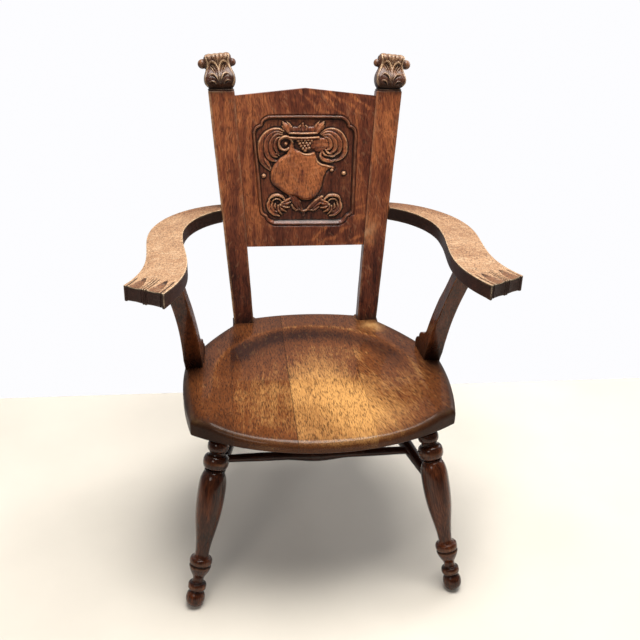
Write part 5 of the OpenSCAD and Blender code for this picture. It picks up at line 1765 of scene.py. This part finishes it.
class ARMCHAIR_OT_legs(bpy.types.Operator):
    """Four splayed turned legs"""

    bl_idname = "armchair.legs"
    bl_label = "Build Legs"

    def execute(self, context):
        segments = context.scene.armchair.turned_segments
        for leg, word in ((FRONT_LEG, "front"), (REAR_LEG, "rear")):
            length = LEG_TOP * math.sqrt(1 + math.tan(leg[2]) ** 2 + math.tan(RAKE) ** 2)
            for side, hand in ((-1, "left"), (1, "right")):
                mesh = turned("leg", leg_profile(length), dark_oak(), segments)
                # Bead crests that get a painted highlight, and coves that are darkened
                pale = [(103 - length, 23), (47 - length, 18), (93 - length, 22), (-60, 26)]
                dark = [95.5 - length, 56 - length, -77, -43, 37 - length]
                node = f"{word}_leg_{hand}"
                obj = place_turned(f"{node}_turned", mesh, leg_frame(side, leg), node, pale, dark)
                p = points_of(obj.data)
                p[:, 2] = np.clip(p[:, 2], FLOOR_GAP, SEAT_UNDER + 1.0)
                obj.data.vertices.foreach_set("co", (p * MM).astype(np.float32).ravel())
                obj.data.update()
        return {"FINISHED"}


class ARMCHAIR_OT_stretchers(bpy.types.Operator):
    """Two side stretchers and the cross stretcher"""

    bl_idname = "armchair.stretchers"
    bl_label = "Build Stretchers"

    def execute(self, context):
        front, rear = rail_ends()
        run = rear - front
        length = float(np.linalg.norm(run))
        for side, hand in ((-1, "left"), (1, "right")):
            mesh = turned("rail", side_rail_profile(length), dark_oak(), 48)
            way = Vector((side * run[0], run[1], 0)).normalized()
            across = way.cross(Vector((0, 0, 1))).normalized()
            turn = Matrix((across, way.cross(across), way)).transposed().to_4x4()
            at = Matrix.Translation(Vector((side * front[0], front[1], RAIL_HIGH)) * MM)
            # The side stretchers are darkened all over as painted shade
            place_turned(f"side_rail_{hand}_turned", mesh, at @ turn, f"side_stretcher_{hand}", dirt_and_shade=0.6)
        cross_y = SEAT_MID - 32
        cross_x = front[0] + (cross_y - front[1]) * run[0] / run[1]
        mesh = turned("cross", cross_rail_profile(cross_x - 3), dark_oak(), 48)
        turn = Matrix.Rotation(math.pi / 2, 4, "Y")
        at = Matrix.Translation(Vector((0, cross_y, RAIL_HIGH)) * MM)
        # The cross stretcher is darkened all over as painted shade
        place_turned("cross_rail_turned", mesh, at @ turn, "cross_stretcher", dirt_and_shade=0.6)
        return {"FINISHED"}


class ARMCHAIR_OT_posts(bpy.types.Operator):
    """Two leaning back posts"""

    bl_idname = "armchair.posts"
    bl_label = "Build Back Posts"

    def execute(self, context):
        for side, hand in ((1, "right"), (-1, "left")):
            p, quads, wear_and_highlight = post_skin()
            points = lean_back(*p.T)
            if side < 0:
                points, quads = mirrored(points, quads)
            mesh = raise_mesh("post", points, quads)
            finish_post(mesh, side, p, wear_and_highlight)
            seat_piece(f"back_post_{hand}_sawn", mesh, back_oak(), [f"back_post_{hand}"])
        return {"FINISHED"}


class ARMCHAIR_OT_panel(bpy.types.Operator):
    """The back panel with its carved field"""

    bl_idname = "armchair.panel"
    bl_label = "Build Back Panel"

    def execute(self, context):
        p, quads, tris, form = panel_skin()
        mesh = raise_mesh("panel", lean_back(*p.T), quads, tris)
        x, y, s = p.T
        set_values(mesh, "grain_at", np.stack([x + 900, y, s], axis=1) * MM)
        front = slice(len(form["high"]))
        wear_and_highlight, grime_and_shade, tone_and_light = np.zeros(len(p)), np.zeros(len(p)), np.full(len(p), -0.10)
        wear_and_highlight[front] = panel_wear_and_highlight(form)
        grime_and_shade[front] = panel_grime_and_shade(form)
        at_x, at_s = x[front], s[front] - PANEL_LOW
        tone_and_light[front] = board_figure(at_x, at_s) + carving_tone_and_light(at_x, at_s, form)
        grime_and_shade = np.maximum(grime_and_shade, 0.6 * smooth(np.abs(x) - post_edge(s), -2.6, -0.2))
        set_values(mesh, "wear_and_highlight", np.clip(wear_and_highlight, 0, 1))
        set_values(mesh, "grime_and_shade", np.clip(grime_and_shade, 0, 1))
        set_values(mesh, "tone_and_light", tone_and_light)
        seat_piece("back_panel_carved", mesh, back_oak(), ["back_panel"], crease=60)
        return {"FINISHED"}


class ARMCHAIR_OT_finials(bpy.types.Operator):
    """Two carved leaf finials"""

    bl_idname = "armchair.finials"
    bl_label = "Build Finials"

    def execute(self, context):
        form = finial_form()
        for side, hand in ((1, "right"), (-1, "left")):
            mesh = form.copy()
            points = lean_finial(finish_finial(mesh, side))
            if side < 0:
                points = points * np.array([-1.0, 1.0, 1.0])
                mesh.flip_normals()
            mesh.vertices.foreach_set("co", (points * MM).astype(np.float32).ravel())
            mesh.update()
            node = f"finial_{hand}"
            seat_piece(f"{node}_carved", mesh, carved_oak(), [node], crease=75)
        bpy.data.meshes.remove(form)
        return {"FINISHED"}


class ARMCHAIR_OT_arms(bpy.types.Operator):
    """Two flat curved arms with carved ends"""

    bl_idname = "armchair.arms"
    bl_label = "Build Arms"

    def execute(self, context):
        for side, hand in ((1, "right"), (-1, "left")):
            plan, w, quads, wear_and_highlight, grime_and_shade, stain, hollow = arm_skin(side > 0)
            points = arm_points(plan, w)
            faces = quads[:, ::-1]
            if side < 0:
                points, faces = mirrored(points, faces)
            mesh = raise_mesh("arm", points, faces)
            finish_arm(mesh, side, plan, w, wear_and_highlight, grime_and_shade, stain, hollow)
            trim_at_post(mesh, side)
            seat_piece(f"arm_{hand}_carved", mesh, arm_oak(), [f"arm_{hand}"], crease=45)
        return {"FINISHED"}


class ARMCHAIR_OT_supports(bpy.types.Operator):
    """Two bent arm supports"""

    bl_idname = "armchair.supports"
    bl_label = "Build Arm Supports"

    def execute(self, context):
        for side, hand in ((1, "right"), (-1, "left")):
            points, quads, wear_and_highlight, z = prop_skin()
            grain = points + (side * 260, 0, 0)
            if side < 0:
                points, quads = mirrored(points, quads)
            mesh = raise_mesh("support", points, quads)
            set_values(mesh, "grain_at", grain * MM)
            set_values(mesh, "wear_and_highlight", np.clip(wear_and_highlight * 0.95 * (0.6 + 0.4 * waver(31, z, size=60)), 0, 1))
            # Painted shadow: darker towards the foot, where the support stands on the seat
            set_values(mesh, "grime_and_shade", 0.9 * (1 - smooth(z, 4, 70)))
            set_values(mesh, "tone_and_light", 0.1 * waver(32 + side, z, size=130) + 0.12)
            node = f"arm_support_{hand}"
            seat_piece(f"{node}_sawn", mesh, dark_oak(), [node], crease=38)
        return {"FINISHED"}


class ARMCHAIR_OT_fastenings(bpy.types.Operator):
    """Finish of the dowels, pegs and foot glides, which keep their own meshes"""

    bl_idname = "armchair.fastenings"
    bl_label = "Finish Dowels and Glides"

    def execute(self, context):
        beech, plastic = plain_wood(), glide_plastic()
        dowels = ("seat_dowels", "panel_dowels", "finial_dowels", "arm_dowels", "post_pegs")
        for name in (*dowels, "foot_glides"):
            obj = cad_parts[name]
            obj.data.materials.clear()
            obj.data.materials.append(plastic if name == "foot_glides" else beech)
        return {"FINISHED"}


class ARMCHAIR_OT_stage(bpy.types.Operator):
    """Floor, lights, sky and camera"""

    bl_idname = "armchair.stage"
    bl_label = "Build Stage"

    def execute(self, context):
        settings = context.scene.armchair
        floor = lay_floor(settings.floor_size)
        floor.data.materials.append(floor_finish(settings.floor_colour))
        hang_lamps(settings.light_power)
        studio_sky()
        stand_camera()
        return {"FINISHED"}


class ARMCHAIR_PT_panel(bpy.types.Panel):
    """Lists the pieces in the sidebar"""

    bl_idname = "ARMCHAIR_PT_panel"
    bl_label = "Armchair"
    bl_space_type = "VIEW_3D"
    bl_region_type = "UI"
    bl_category = "Armchair"

    def draw(self, context):
        settings = context.scene.armchair
        for name in ArmchairSettings.__annotations__:
            self.layout.prop(settings, name)
        for step in STEPS:
            self.layout.operator(step.bl_idname)


STEPS = (
    ARMCHAIR_OT_stage,
    ARMCHAIR_OT_seat,
    ARMCHAIR_OT_legs,
    ARMCHAIR_OT_stretchers,
    ARMCHAIR_OT_posts,
    ARMCHAIR_OT_panel,
    ARMCHAIR_OT_finials,
    ARMCHAIR_OT_arms,
    ARMCHAIR_OT_supports,
    ARMCHAIR_OT_fastenings,
)
CLASSES = (ArmchairSettings, *STEPS, ARMCHAIR_PT_panel)


def register():
    """Adds the settings, the operators and the panel to Blender."""
    for cls in CLASSES:
        bpy.utils.register_class(cls)
    bpy.types.Scene.armchair = bpy.props.PointerProperty(type=ArmchairSettings)


def unregister():
    """Takes the settings, the operators and the panel out of Blender."""
    del bpy.types.Scene.armchair
    for cls in reversed(CLASSES):
        bpy.utils.unregister_class(cls)


def main():
    """Builds all pieces and the stage."""
    register()
    for step in STEPS:
        family, name = step.bl_idname.split(".")
        getattr(getattr(bpy.ops, family), name)()


if __name__ == "__main__":
    main()
